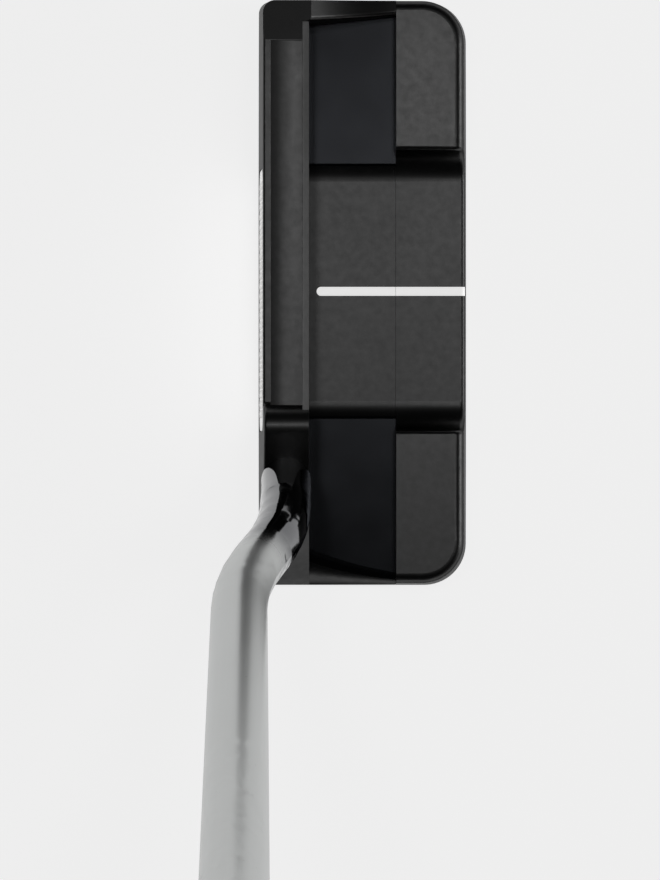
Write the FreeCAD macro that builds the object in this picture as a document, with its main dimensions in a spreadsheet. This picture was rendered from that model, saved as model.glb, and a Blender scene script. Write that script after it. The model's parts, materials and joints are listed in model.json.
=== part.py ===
import FreeCAD, Part
import math
import os
import Sketcher

Vector = FreeCAD.Vector
Rotation = FreeCAD.Rotation
Placement = FreeCAD.Placement

# Driving sizes in millimetres and degrees.
# Frame: X runs from the face to the back, Y from heel to toe, Z up from the sole.
# The origin is on the sole, under the sight line.
# "over" is how far a cut runs past the metal, where its length doesn't matter.
SIZES = {
    # Outline of the head where it meets the sole, and its draft.
    "face_x": 21.3,
    "back_x": 21.3,
    "toe_y": 59.45,
    "heel_y": 60.0,
    "draft": 4.0,
    "loft": 3.0,
    "front_corner": 2.5,
    "back_corner": 8.5,
    "blank_top": 34.0,
    "over": 10.0,
    # Rail behind the face, with its scooped top.
    "topline_z": 25.0,
    "rail_back_x": 10.85,
    "ledge_x": 18.5,
    "crease_x": 12.1,
    "scoop_z": 23.8,
    "scoop_radius": 17.7,
    "scoop_toe_y": 49.7,
    "scoop_heel_y": 23.2,
    "chamfer_z": 22.2,
    # Low areas behind the rail.
    "deck_z": 9.2,
    "floor_z": 8.0,
    "channel_half": 28.3,
    "channel_fillet": 6.0,
    "toe_slope_y": 49.8,
    "toe_slope": 7.0,
    "wing_front_y": 53.6,
    "wing_back_y": 55.5,
    "wing_start_x": 10.35,
    "wing_end_x": 8.7,
    "wing_back_z": 16.2,
    "wing_arc_radius": 42.0,
    "wing_edge_radius": 0.8,
    "rim_edge_radius": 0.5,
    "crease_radius": 0.35,
    # Shaft boss and the heel shoulder below it.
    "lie": 70.0,
    "seat_y": 38.3,
    "seat_z": 27.4,
    "boss_ridge_y": 23.7,
    "boss_ridge_radius": 4.0,
    "boss_foot_radius": 0.8,
    "boss_heel_radius": 4.0,
    "boss_heel_y": 44.2,
    "shoulder_y": 53.5,
    "shoulder_z": 14.0,
    "shoulder_foot_y": 58.6,
    "shoulder_foot_z": 5.5,
    "shoulder_radius": 8.0,
    "shoulder_run": 2.2,
    "shoulder_drop": 3.0,
    "roll_edge": 0.4,
    "roll_front": 7.4,
    "roll_front_drop": 5.8,
    "roll_middle": 4.6,
    "roll_middle_drop": 4.0,
    "roll_back": 2.4,
    "roll_back_drop": 2.4,
    # Rear flange and the lap joint under it.
    "seam_x": 6.7,
    "seam_gap": 0.06,
    "bumper_z": 14.6,
    "bumper_slope": 2.5,
    "rim_radius": 2.0,
    "back_edge_radius": 0.9,
    "tongue_back_x": 16.0,
    "tongue_half": 46.0,
    "tongue_z": 3.5,
    "bond_film": 0.15,
    # Sole.
    "camber_start_y": 20.0,
    "camber_end_y": 64.0,
    "camber_radius": 420.0,
    "sole_edge_radius": 1.5,
    # Face insert.
    "insert_toe_y": 24.5,
    "insert_heel_y": 28.5,
    "insert_low": 2.6,
    "insert_high": 23.2,
    "insert_corner": 4.0,
    "insert_deep": 4.8,
    "insert_bond": 0.2,
    "insert_gap": 0.05,
    # Sight line.
    "sight_front_x": 9.5,
    "sight_half": 0.9,
    "sight_deep": 0.3,
    # Screw-in sole weights.
    "weight_x": 9.5,
    "weight_y": 42.0,
    "weight_head_radius": 6.3,
    "weight_shank_radius": 4.35,
    "weight_low_z": 0.9,
    "weight_step_z": 3.0,
    "weight_top_z": 6.9,
    "weight_drive": 2.9,
    "weight_drive_deep": 2.2,
    "washer_thick": 0.3,
    "washer_inner": 4.7,
    "weight_gap": 0.1,
    "weight_chamfer": 0.4,
    # Screws and dowels of the lap joint.
    "joint_x": 11.4,
    "screw_inner_y": 12.0,
    "screw_outer_y": 38.0,
    "screw_radius": 1.5,
    "screw_head_radius": 2.9,
    "screw_low_z": 0.5,
    "screw_neck_z": 1.9,
    "screw_top_z": 6.8,
    "screw_gap": 0.1,
    "screw_drive_radius": 1.125,
    "screw_drive_deep": 1.0,
    "dowel_y": 25.0,
    "dowel_radius": 1.5,
    "dowel_low_z": 0.6,
    "dowel_top_z": 6.4,
    # Post and shaft.
    "post_radius": 4.25,
    "post_long": 14.0,
    "post_root": 2.0,
    "post_chamfer": 0.5,
    "shaft_tip_radius": 4.95,
    "shaft_tip_bore": 4.4,
    "shaft_butt_radius": 7.6,
    "shaft_butt_bore": 7.1,
    "shaft_straight": 14.5,
    "bend_radius": 90.0,
    "bend_forward": 16.0,
    "bend_back": 16.6,
    "bend_run": 4.3,
    "shaft_taper": 495.0,
    "shaft_upper": 760.0,
    "plug_radius": 4.15,
    "plug_low": 14.2,
    "plug_high": 18.6,
    # Grip, measured along the upper shaft.
    "tape_low": 507.0,
    "tape_thick": 0.25,
    "collar_low": 500.0,
    "collar_high": 506.0,
    "collar_radius": 10.4,
    "collar_edge_radius": 1.8,
    "grip_low": 506.2,
    "grip_high": 760.0,
    "skin_thick": 1.6,
    "grip_gap": 0.05,
    "cap_high": 766.0,
    "cap_plug_deep": 12.0,
    "cap_plug_radius": 6.9,
    "cap_vent_radius": 1.25,
    "cap_edge_radius": 2.0,
}

# Grip sections: distance along the upper shaft, radius of the round back,
# distance of its centre behind the shaft axis, distance of the flat front from the axis.
GRIP_SECTIONS = {
    "low": (506.2, 10.8, 0.0, 10.2),
    "waist": (575.0, 12.2, 0.4, 10.2),
    "middle": (650.0, 13.0, 0.8, 10.3),
    "swell": (705.0, 14.2, 1.8, 10.3),
    "belly": (740.0, 15.6, 3.0, 10.3),
    "butt": (760.0, 15.2, 2.8, 10.3),
}

doc = FreeCAD.newDocument("mallet_putter")
dims = doc.addObject("Spreadsheet::Sheet", "dims")


def fill_sheet():
    """Write every size to the sheet, one row each, with its alias."""
    rows = dict(SIZES)
    for name, section in GRIP_SECTIONS.items():
        for part_name, value in zip(("along", "radius", "centre", "flat"), section):
            rows["grip_" + name + "_" + part_name] = value
    for row, (alias, value) in enumerate(rows.items(), start=1):
        dims.set("A" + str(row), alias)
        dims.set("B" + str(row), str(value))
        dims.setAlias("B" + str(row), alias)
    doc.recompute()


def value_of(expression):
    """The number that an expression over the sheet gives now."""
    result = dims.evalExpression(expression)
    return float(getattr(result, "Value", result))


def size(alias):
    """One size from the sheet, in millimetres or degrees."""
    return value_of("dims." + alias)


# ---------------------------------------------------------------- sketches

def origin_plane(body, role):
    """One of the body's own origin planes."""
    for feature in body.Origin.OriginFeatures:
        if feature.Role == role:
            return feature
    raise ValueError(role)


def arc_between(start, end, radius):
    """Arc from start to end; a positive radius turns left, a negative one turns right."""
    chord = end - start
    half = chord.Length / 2
    rise = math.sqrt(radius * radius - half * half)
    left = Vector(-chord.y, chord.x, 0).normalize()
    centre = (start + end) * 0.5 + left * math.copysign(rise, radius)
    first, last = (start, end) if radius > 0 else (end, start)
    angles = [math.atan2(p.y - centre.y, p.x - centre.x) for p in (first, last)]
    circle = Part.Circle(centre, Vector(0, 0, 1), abs(radius))
    return Part.ArcOfCircle(circle, angles[0], angles[1])


def outline(body, name, role, points, offset=None, tilt=None):
    """A closed, fully bound sketch.

    Each point is (x, y) or (x, y, radius), all expressions over the sheet.
    A radius makes the side that leaves the point an arc.
    """
    sketch = body.newObject("Sketcher::SketchObject", name)
    sketch.AttachmentSupport = [(origin_plane(body, role), "")]
    sketch.MapMode = "FlatFace"
    if tilt:
        turn = Rotation(Vector(1, 0, 0), value_of(tilt))
        sketch.AttachmentOffset = Placement(Vector(), turn)
    if offset:
        sketch.setExpression("AttachmentOffset.Base.z", offset)
    places = [Vector(value_of(p[0]), value_of(p[1]), 0) for p in points]
    ends = []
    for index, point in enumerate(points):
        start = places[index]
        end = places[(index + 1) % len(points)]
        if len(point) == 3:
            radius = value_of(point[2])
            sketch.addGeometry(arc_between(start, end, radius), False)
            ends.append((1, 2) if radius > 0 else (2, 1))
        else:
            sketch.addGeometry(Part.LineSegment(start, end), False)
            ends.append((1, 2))
    for index, point in enumerate(points):
        after = (index + 1) % len(points)
        joined = Sketcher.Constraint("Coincident", index, ends[index][1], after, ends[after][0])
        sketch.addConstraint(joined)
        for kind, expression in zip(("DistanceX", "DistanceY"), point):
            place = Sketcher.Constraint(kind, -1, 1, index, ends[index][0], value_of(expression))
            number = sketch.addConstraint(place)
            sketch.setExpression("Constraints[%d]" % number, expression)
        if len(point) == 3:
            bend = Sketcher.Constraint("Radius", index, abs(value_of(point[2])))
            number = sketch.addConstraint(bend)
            sketch.setExpression("Constraints[%d]" % number, "abs(" + point[2] + ")")
    doc.recompute()
    return sketch


def circle_sketch(body, name, role, centre_x, centre_y, radii, offset=None):
    """A sketch of concentric circles, bound to the sheet."""
    sketch = body.newObject("Sketcher::SketchObject", name)
    sketch.AttachmentSupport = [(origin_plane(body, role), "")]
    sketch.MapMode = "FlatFace"
    if offset:
        sketch.setExpression("AttachmentOffset.Base.z", offset)
    centre = Vector(value_of(centre_x), value_of(centre_y), 0)
    for index, radius in enumerate(radii):
        circle = Part.Circle(centre, Vector(0, 0, 1), value_of(radius))
        sketch.addGeometry(circle, False)
        width = sketch.addConstraint(Sketcher.Constraint("Radius", index, value_of(radius)))
        sketch.setExpression("Constraints[%d]" % width, radius)
        for kind, expression in (("DistanceX", centre_x), ("DistanceY", centre_y)):
            place = Sketcher.Constraint(kind, -1, 1, index, 3, value_of(expression))
            number = sketch.addConstraint(place)
            sketch.setExpression("Constraints[%d]" % number, expression)
    doc.recompute()
    return sketch


# ---------------------------------------------------------------- features

def new_body(label):
    """An empty body that will be one node."""
    body = doc.addObject("PartDesign::Body", label)
    body.Label = label
    return body


def check_step(body, feature, before, sign):
    """Stop at once if a feature failed or changed the volume the wrong way."""
    doc.recompute()
    bad = "Invalid" in feature.State or "Error" in feature.State
    if bad or feature.Shape.isNull():
        raise RuntimeError(body.Label + ": " + feature.Name + " failed")
    if sign * (feature.Shape.Volume - before) <= 0:
        raise RuntimeError(body.Label + ": " + feature.Name + " changed nothing")


def volume_of(body):
    """Volume of the body so far."""
    return body.Shape.Volume if body.Tip and not body.Shape.isNull() else 0.0


def pad(body, name, sketch, length, reverse=False, taper=None):
    """Add material from a sketch."""
    before = volume_of(body)
    feature = body.newObject("PartDesign::Pad", name)
    feature.Profile = sketch
    feature.setExpression("Length", length)
    feature.Reversed = reverse
    if taper:
        feature.setExpression("TaperAngle", taper)
    check_step(body, feature, before, 1)
    return feature


def pocket(body, name, sketch, length=None, reverse=False):
    """Cut a sketch from the body, right through both ways when no length is given."""
    before = volume_of(body)
    feature = body.newObject("PartDesign::Pocket", name)
    feature.Profile = sketch
    if length:
        feature.setExpression("Length", length)
        feature.Reversed = reverse
    else:
        feature.Type = "ThroughAll"
        feature.Midplane = True
    check_step(body, feature, before, -1)
    return feature


def loft(body, name, sketches, kind="PartDesign::AdditiveLoft"):
    """Add or cut a solid that runs through several sketches."""
    sign = 1 if kind == "PartDesign::AdditiveLoft" else -1
    before = volume_of(body)
    feature = body.newObject(kind, name)
    feature.Profile = sketches[0]
    feature.Sections = sketches[1:]
    check_step(body, feature, before, sign)
    return feature


def edges_where(shape, test):
    """Names of the edges for which test(box, middle) is true."""
    names = []
    for index, edge in enumerate(shape.Edges, start=1):
        middle = edge.valueAt((edge.FirstParameter + edge.LastParameter) / 2)
        if test(edge.BoundBox, middle):
            names.append("Edge" + str(index))
    return names


def dress(body, name, kind, amount, test):
    """Fillet or chamfer the edges for which test(box, middle) is true."""
    base = body.Tip
    names = edges_where(base.Shape, test)
    if not names:
        raise RuntimeError(body.Label + ": no edge for " + name)
    feature = body.newObject("PartDesign::" + kind, name)
    feature.Base = (base, names)
    feature.setExpression("Radius" if kind == "Fillet" else "Size", amount)
    doc.recompute()
    if "Invalid" in feature.State or not feature.Shape.isValid():
        raise RuntimeError(body.Label + ": " + name + " failed on " + str(len(names)) + " edges")
    return feature


# ---------------------------------------------------------------- head castings

def head_blank(body, front_x, back_x):
    """Drafted block over the whole width of the head."""
    points = [
        (front_x, "-dims.heel_y"),
        (back_x, "-dims.heel_y"),
        (back_x, "dims.toe_y"),
        (front_x, "dims.toe_y"),
    ]
    plan = outline(body, "plan", "XY_Plane", points)
    pad(body, "blank", plan, "dims.blank_top", taper="-dims.draft")


def round_corners(body, name, radius, test_x):
    """Round the two upright corners whose X passes a test."""
    def upright(box, middle):
        return box.ZLength > size("blank_top") / 2 and test_x(middle.x)

    dress(body, name, "Fillet", radius, upright)


def round_sole_edge(body):
    """Round the outer edge of the sole."""
    def outer_edge(box, middle):
        low = box.ZMax < size("sole_edge_radius") + 1.2
        outside = middle.y > size("toe_y") - 3 or middle.y < 3 - size("heel_y")
        face = middle.x < 0.5 - size("face_x")
        back = middle.x > size("back_x") - size("back_corner")
        inner = box.YLength > 5 and abs(abs(middle.y) - size("camber_start_y")) < 0.01
        return low and (outside or face or back) and not inner and box.DiagonalLength > 1

    dress(body, "sole_edge", "Fillet", "dims.sole_edge_radius", outer_edge)


def cut_camber(body):
    """Lift the sole in a long arc towards the toe and the heel."""
    run = "(dims.camber_end_y - dims.camber_start_y)"
    rise = "(dims.camber_radius - sqrt(dims.camber_radius^2 - " + run + "^2))"
    for side, name in (("", "toe_camber"), ("-", "heel_camber")):
        turn = "dims.camber_radius" if side == "" else "-dims.camber_radius"
        points = [
            (side + "dims.camber_start_y", "0", turn),
            (side + "dims.camber_end_y", rise),
            (side + "dims.camber_end_y", "-dims.over"),
            (side + "dims.camber_start_y", "-dims.over"),
        ]
        pocket(body, name, outline(body, name + "_plan", "YZ_Plane", points))


def cut_channel(body, front_x):
    """Cut the middle channel and round its two lower corners."""
    points = [
        (front_x, "-dims.channel_half"),
        ("dims.back_x + dims.over", "-dims.channel_half"),
        ("dims.back_x + dims.over", "dims.channel_half"),
        (front_x, "dims.channel_half"),
    ]
    plan = outline(body, "channel_plan", "XY_Plane", points, offset="dims.floor_z")
    pocket(body, "channel", plan, "dims.blank_top", reverse=True)

    def channel_corner(box, middle):
        low = abs(middle.z - size("floor_z")) < 0.01
        side = abs(abs(middle.y) - size("channel_half")) < 0.01
        return low and side and box.YLength < 0.01

    dress(body, "channel_fillets", "Fillet", "dims.channel_fillet", channel_corner)


def cut_top_profile(body):
    """Cut the topline, the shaft boss with its seat, and the heel shoulder."""
    seat_slope = "tan(90 - dims.lie)"
    ridge_z = "dims.seat_z + (dims.seat_y - dims.boss_ridge_y) * " + seat_slope
    heel_z = "dims.seat_z + (dims.seat_y - dims.boss_heel_y) * " + seat_slope
    points = [
        ("dims.toe_y + dims.over", "dims.topline_z"),
        ("-dims.scoop_heel_y", "dims.topline_z"),
        ("-dims.boss_ridge_y", ridge_z),
        ("-dims.boss_heel_y", heel_z),
        ("-dims.heel_y - dims.over", heel_z),
        ("-dims.heel_y - dims.over", "dims.blank_top + dims.over"),
        ("dims.toe_y + dims.over", "dims.blank_top + dims.over"),
    ]
    pocket(body, "top_profile", outline(body, "top_plan", "YZ_Plane", points))
    shoulder = [
        ("-dims.boss_heel_y", heel_z),
        ("-dims.shoulder_y", "dims.shoulder_z"),
        ("-dims.shoulder_foot_y", "dims.shoulder_foot_z"),
        ("-dims.shoulder_foot_y - dims.shoulder_run", "dims.shoulder_foot_z - dims.shoulder_drop"),
        ("-dims.heel_y - dims.over", "dims.shoulder_foot_z - dims.shoulder_drop"),
        ("-dims.heel_y - dims.over", heel_z),
    ]
    plan = outline(body, "shoulder_plan", "YZ_Plane", shoulder, offset="-dims.face_x - dims.over")
    pocket(body, "shoulder_cut", plan, "dims.face_x + dims.over - dims.rail_back_x", reverse=True)
    crossings = (
        ("boss_ridge", "dims.boss_ridge_y", ridge_z, "dims.boss_ridge_radius"),
        ("boss_heel", "dims.boss_heel_y", heel_z, "dims.boss_heel_radius"),
        ("boss_foot", "dims.scoop_heel_y", "dims.topline_z", "dims.boss_foot_radius"),
        ("shoulder", "dims.shoulder_y", "dims.shoulder_z", "dims.shoulder_radius"),
    )
    for name, place_y, place_z, radius in crossings:
        def crossing(box, middle, place_y=place_y, place_z=place_z):
            near = abs(middle.y + value_of(place_y)) < 0.02 and abs(middle.z - value_of(place_z)) < 0.02
            return near and box.XLength > 3 and middle.x < size("rail_back_x") / 2

        dress(body, name, "Fillet", radius, crossing)


def cut_scoop(body):
    """Cut the shallow scoop along the top of the rail."""
    points = [
        ("-dims.ledge_x", "dims.topline_z", "dims.scoop_radius"),
        ("-dims.crease_x", "dims.scoop_z"),
        ("-dims.rail_back_x + dims.over", "dims.scoop_z"),
        ("-dims.rail_back_x + dims.over", "dims.topline_z + dims.over"),
        ("-dims.ledge_x", "dims.topline_z + dims.over"),
    ]
    plan = outline(body, "scoop_plan", "XZ_Plane", points, offset="dims.scoop_heel_y")
    pocket(body, "scoop", plan, "dims.scoop_heel_y + dims.scoop_toe_y")


def cut_deck(body):
    """Lower everything behind the rail, inside the toe wing."""
    far = "(dims.seam_x + dims.over)"
    slant = "(dims.wing_back_y - dims.wing_front_y) / (dims.seam_x + dims.rail_back_x)"
    points = [
        ("-dims.rail_back_x", "-dims.heel_y - dims.over"),
        (far, "-dims.heel_y - dims.over"),
        (far, "dims.wing_front_y + (" + far + " + dims.rail_back_x) * " + slant),
        ("-dims.rail_back_x", "dims.wing_front_y"),
    ]
    plan = outline(body, "deck_plan", "XY_Plane", points, offset="dims.deck_z")
    pocket(body, "deck", plan, "dims.blank_top", reverse=True)


def cut_toe_slope(body):
    """Let the toe end of the rail fall away towards the toe."""
    run = "(dims.toe_y + dims.over - dims.toe_slope_y)"
    points = [
        ("dims.toe_slope_y", "dims.topline_z"),
        ("dims.toe_y + dims.over", "dims.topline_z - " + run + " * tan(dims.toe_slope)"),
        ("dims.toe_y + dims.over", "dims.topline_z + dims.over"),
        ("dims.toe_slope_y", "dims.topline_z + dims.over"),
    ]
    pocket(body, "toe_slope", outline(body, "toe_plan", "YZ_Plane", points))


def cut_wing_slope(body):
    """Let the toe wing fall from the topline to the seam, and towards the toe like the rail."""
    points = [
        ("-dims.wing_start_x", "dims.topline_z / cos(dims.toe_slope)", "dims.wing_arc_radius"),
        ("dims.wing_end_x", "dims.wing_back_z / cos(dims.toe_slope)"),
        ("dims.wing_end_x", "dims.topline_z + dims.over"),
        ("-dims.wing_start_x", "dims.topline_z + dims.over"),
    ]
    offset = "dims.topline_z * tan(dims.toe_slope) - dims.toe_slope_y"
    plan = outline(body, "wing_plan", "XZ_Plane", points, offset, tilt="-dims.toe_slope")
    pocket(body, "wing_slope", plan, "dims.toe_y - dims.toe_slope_y + 2 * dims.over")


def cut_rail_chamfer(body):
    """Break the rear edge of the rail with a steep chamfer."""
    points = [
        ("-dims.crease_x", "dims.scoop_z"),
        ("-dims.rail_back_x + 0.01", "dims.chamfer_z"),
        ("-dims.rail_back_x + 1", "dims.chamfer_z"),
        ("-dims.rail_back_x + 1", "dims.topline_z + dims.over"),
        ("-dims.crease_x", "dims.topline_z + dims.over"),
    ]
    plan = outline(body, "chamfer_plan", "XZ_Plane", points, offset="dims.scoop_heel_y + 1")
    pocket(body, "rail_chamfer", plan, "dims.scoop_heel_y + 1 + dims.wing_front_y")


def round_wing(body):
    """Round the inner upper edge of the toe wing."""
    def inner_edge(box, middle):
        along = box.XLength > 10 and size("wing_front_y") - 0.1 < middle.y < size("wing_back_y") + 0.5
        return along and middle.z > size("wing_back_z")

    dress(body, "wing_edge", "Fillet", "dims.wing_edge_radius", inner_edge)


def round_rail(body):
    """Ease the long edges along the top of the rail."""
    def ledge_edge(box, middle):
        top = abs(middle.z - size("topline_z")) < 0.05
        return top and box.YLength > 40 and box.XLength < 0.5 and middle.x < -17

    def crease_edge(box, middle):
        line = abs(middle.x + size("crease_x")) < 0.05 and abs(middle.z - size("scoop_z")) < 0.05
        return line and box.YLength > 40

    dress(body, "ledge_edges", "Fillet", "dims.rim_edge_radius", ledge_edge)
    dress(body, "crease_edge", "Fillet", "dims.crease_radius", crease_edge)


def cut_heel_roll(body):
    """Round the heel edge, wide at the rail and narrow at the seam."""
    stations = (
        ("-dims.rail_back_x", "dims.roll_front", "dims.roll_front_drop"),
        ("-dims.rail_back_x / 4", "dims.roll_middle", "dims.roll_middle_drop"),
        ("dims.seam_x + 1", "dims.roll_back", "dims.roll_back_drop"),
    )
    sections = []
    top = "dims.deck_z"
    for number, (place, wide, drop) in enumerate(stations):
        start = "-dims.heel_y + dims.roll_edge + " + wide
        radius = "(%s^2 + %s^2) / (2 * %s)" % (wide, drop, drop)
        points = [
            (start, top, radius),
            ("-dims.heel_y + dims.roll_edge", top + " - " + drop),
            ("-dims.heel_y - dims.over", top + " - " + drop),
            ("-dims.heel_y - dims.over", "dims.topline_z + dims.over"),
            (start, "dims.topline_z + dims.over"),
        ]
        sections.append(outline(body, "roll_" + str(number), "YZ_Plane", points, offset=place))
    loft(body, "heel_roll", sections, "PartDesign::SubtractiveLoft")


def cut_face(body):
    """Plane the face at its loft."""
    run = "dims.blank_top * tan(dims.loft)"
    points = [
        ("-dims.face_x", "0"),
        ("-dims.face_x + " + run, "dims.blank_top"),
        ("-dims.face_x - dims.over", "dims.blank_top"),
        ("-dims.face_x - dims.over", "-dims.over"),
        ("-dims.face_x", "-dims.over"),
    ]
    pocket(body, "face", outline(body, "face_plan", "XZ_Plane", points))


def cut_seam(body):
    """End the front casting at the seam, leaving the tongue of the lap joint."""
    points = [
        ("dims.seam_x", "dims.tongue_z"),
        ("dims.tongue_back_x", "dims.tongue_z"),
        ("dims.tongue_back_x", "-dims.over"),
        ("dims.back_x + dims.over", "-dims.over"),
        ("dims.back_x + dims.over", "dims.blank_top + dims.over"),
        ("dims.seam_x", "dims.blank_top + dims.over"),
    ]
    pocket(body, "seam", outline(body, "seam_plan", "XZ_Plane", points))
    for side, name in (("", "tongue_toe"), ("-", "tongue_heel")):
        edge = [
            ("dims.seam_x", side + "dims.tongue_half"),
            ("dims.tongue_back_x + dims.over", side + "dims.tongue_half"),
            ("dims.tongue_back_x + dims.over", side + "(dims.heel_y + dims.over)"),
            ("dims.seam_x", side + "(dims.heel_y + dims.over)"),
        ]
        plan = outline(body, name + "_plan", "XY_Plane", edge, offset="-dims.over")
        pocket(body, name, plan, "dims.tongue_z + 2 * dims.over", reverse=True)


def insert_points(gap):
    """Corners of the face insert on the lofted face, shrunk by a gap."""
    return [
        ("-dims.insert_heel_y + " + gap, "dims.insert_low + " + gap),
        ("dims.insert_toe_y - " + gap, "dims.insert_low + " + gap),
        ("dims.insert_toe_y - " + gap, "dims.insert_high - " + gap),
        ("-dims.insert_heel_y + " + gap, "dims.insert_high - " + gap),
    ]


def face_outline(body, name, gap, offset):
    """The insert's outline on a plane along the lofted face."""
    return outline(body, name, "YZ_Plane", insert_points(gap), offset, tilt="dims.loft")


def round_insert(body, name, radius):
    """Round the four corners of the insert or of its recess."""
    def corner(box, middle):
        along = box.XLength > size("insert_deep") / 2 and box.YLength < 0.01
        ends = (size("insert_toe_y"), -size("insert_heel_y"))
        return along and min(abs(middle.y - end) for end in ends) < 0.1

    dress(body, name, "Fillet", radius, corner)


def cut_insert_recess(body):
    """Cut the recess for the face insert."""
    plan = face_outline(body, "recess_plan", "0", "-dims.face_x - 1")
    pocket(body, "recess", plan, "cos(dims.loft) + dims.insert_deep + dims.insert_bond", reverse=True)
    round_insert(body, "recess_corners", "dims.insert_corner")


def cut_weight_holes(body):
    """Cut the stepped holes for the sole weights."""
    for side, name in (("", "toe"), ("-", "heel")):
        centre = ("-dims.weight_x", side + "dims.weight_y")
        head = circle_sketch(body, name + "_weight_seat", "XY_Plane", *centre,
                             ["dims.weight_head_radius + dims.weight_gap"], offset="-1")
        pocket(body, name + "_seat", head, "1 + dims.weight_step_z + dims.washer_thick", reverse=True)
        shank = circle_sketch(body, name + "_weight_bore", "XY_Plane", *centre,
                              ["dims.weight_shank_radius + dims.weight_gap / 2"], offset="0")
        pocket(body, name + "_bore", shank, "dims.weight_top_z + 0.3", reverse=True)


def joint_places():
    """Centres of the lap joint's screws, as expressions."""
    places = []
    for side in ("", "-"):
        for distance in ("dims.screw_inner_y", "dims.screw_outer_y"):
            places.append(("dims.joint_x", side + distance))
    return places


def dowel_places():
    """Centres of the lap joint's dowels, as expressions."""
    return [("dims.joint_x", "dims.dowel_y"), ("dims.joint_x", "-dims.dowel_y")]


def drill(body, name, centre, radius, low, high):
    """Cut one upright round hole between two heights."""
    ring = circle_sketch(body, name + "_ring", "XY_Plane", *centre, [radius], offset=low)
    pocket(body, name, ring, "(" + high + ") - (" + low + ")", reverse=True)


def cut_joint_holes(body, low, high):
    """Drill the screw and dowel holes between two heights."""
    for number, centre in enumerate(joint_places()):
        drill(body, "screw_hole_" + str(number), centre, "dims.screw_radius + 0.05", low, high)
    for number, centre in enumerate(dowel_places()):
        drill(body, "dowel_hole_" + str(number), centre, "dims.dowel_radius + 0.02", low, high)


def cut_screw_seats(body):
    """Countersink the screw holes in the sole."""
    for number, centre in enumerate(joint_places()):
        drill(body, "screw_seat_" + str(number), centre, "dims.screw_head_radius + dims.screw_gap",
              "-dims.over", "dims.screw_low_z + dims.screw_gap")
        before = volume_of(body)
        cone = body.newObject("PartDesign::SubtractiveCone", "countersink_" + str(number))
        cone.setExpression("Radius1", "dims.screw_head_radius + dims.screw_gap")
        cone.setExpression("Radius2", "dims.screw_radius + dims.screw_gap")
        cone.setExpression("Height", "dims.screw_neck_z - dims.screw_low_z")
        cone.setExpression("Placement.Base.x", centre[0])
        cone.setExpression("Placement.Base.y", centre[1])
        cone.setExpression("Placement.Base.z", "dims.screw_low_z + dims.screw_gap")
        check_step(body, cone, before, -1)


def front_sight_points(back_x):
    """Outline of the front half of the sight line, with its round end."""
    start = "-dims.sight_front_x + dims.sight_half"
    return [
        (start, "-dims.sight_half"),
        (back_x, "-dims.sight_half"),
        (back_x, "dims.sight_half"),
        (start, "dims.sight_half", "dims.sight_half * 1.02"),
    ]


def cut_front_groove(body):
    """Cut the shallow groove for the front half of the sight line."""
    points = front_sight_points("dims.seam_x + 1")
    plan = outline(body, "sight_plan", "XY_Plane", points, offset="dims.floor_z - dims.sight_deep")
    pocket(body, "sight_groove", plan, "dims.blank_top", reverse=True)


def rear_wall_x(height):
    """Distance of the drafted rear wall at a height."""
    return "dims.back_x - (" + height + ") * tan(dims.draft)"


def rear_sight_points(front_x, outer):
    """Side view of the rear half of the sight line, which bends over the rear edge.

    The upper side follows the floor and its rounded rear edge, or clears them when outer is false.
    """
    low = "(dims.floor_z - dims.back_edge_radius)"
    turn_x = rear_wall_x(low) + " - dims.back_edge_radius / cos(dims.draft)"
    inner_radius = "-(dims.back_edge_radius - dims.sight_deep)"
    points = [
        (front_x, "dims.floor_z - dims.sight_deep"),
        (turn_x, "dims.floor_z - dims.sight_deep", inner_radius),
        (turn_x + " + dims.back_edge_radius - dims.sight_deep", low),
    ]
    if outer:
        tangent_x = turn_x + " + dims.back_edge_radius * cos(dims.draft)"
        tangent_z = low + " + dims.back_edge_radius * sin(dims.draft)"
        points.append((rear_wall_x(low), low))
        points.append((tangent_x, tangent_z, "dims.back_edge_radius"))
        points.append((turn_x, "dims.floor_z"))
        points.append((front_x, "dims.floor_z"))
    else:
        points.append(("dims.back_x + 2", low))
        points.append(("dims.back_x + 2", "dims.floor_z + 1"))
        points.append((front_x, "dims.floor_z + 1"))
    return points


def cut_rear_groove(body):
    """Cut the shallow groove for the rear half of the sight line."""
    points = rear_sight_points("dims.seam_x - 1", outer=False)
    plan = outline(body, "sight_plan", "XZ_Plane", points, offset="-dims.sight_half")
    pocket(body, "sight_groove", plan, "2 * dims.sight_half", reverse=True)


def add_post(body):
    """Add the post that the shaft slips over, square to the seat."""
    before = volume_of(body)
    post = body.newObject("PartDesign::AdditiveCylinder", "post")
    post.setExpression("Radius", "dims.post_radius")
    post.setExpression("Height", "dims.post_long + dims.post_root")
    root = shaft_frame().multVec(Vector(0, 0, -size("post_root")))
    post.Placement = Placement(root, shaft_frame().Rotation)
    check_step(body, post, before, 1)
    doc.recompute()

    def post_end(box, middle):
        top = shaft_frame().multVec(Vector(0, 0, size("post_long")))
        return (middle - top).Length < size("post_radius") + 0.1

    dress(body, "post_end", "Chamfer", "dims.post_chamfer", post_end)


def make_head_body():
    """Front casting: face, topline rail, toe wing, heel shoulder, shaft boss and post."""
    body = new_body("head_body")
    head_blank(body, "-dims.face_x - 3", "dims.back_x + 6")
    cut_face(body)
    round_corners(body, "front_corners", "dims.front_corner", lambda x: x < 0)
    cut_camber(body)
    round_sole_edge(body)
    cut_channel(body, "-dims.rail_back_x")
    cut_top_profile(body)
    cut_scoop(body)
    cut_deck(body)
    cut_rail_chamfer(body)
    cut_wing_slope(body)
    cut_toe_slope(body)
    cut_heel_roll(body)
    round_wing(body)
    round_rail(body)
    cut_seam(body)
    cut_insert_recess(body)
    cut_weight_holes(body)
    cut_joint_holes(body, "-1", "dims.tongue_z + 1")
    cut_screw_seats(body)
    cut_front_groove(body)
    add_post(body)
    return body


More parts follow.
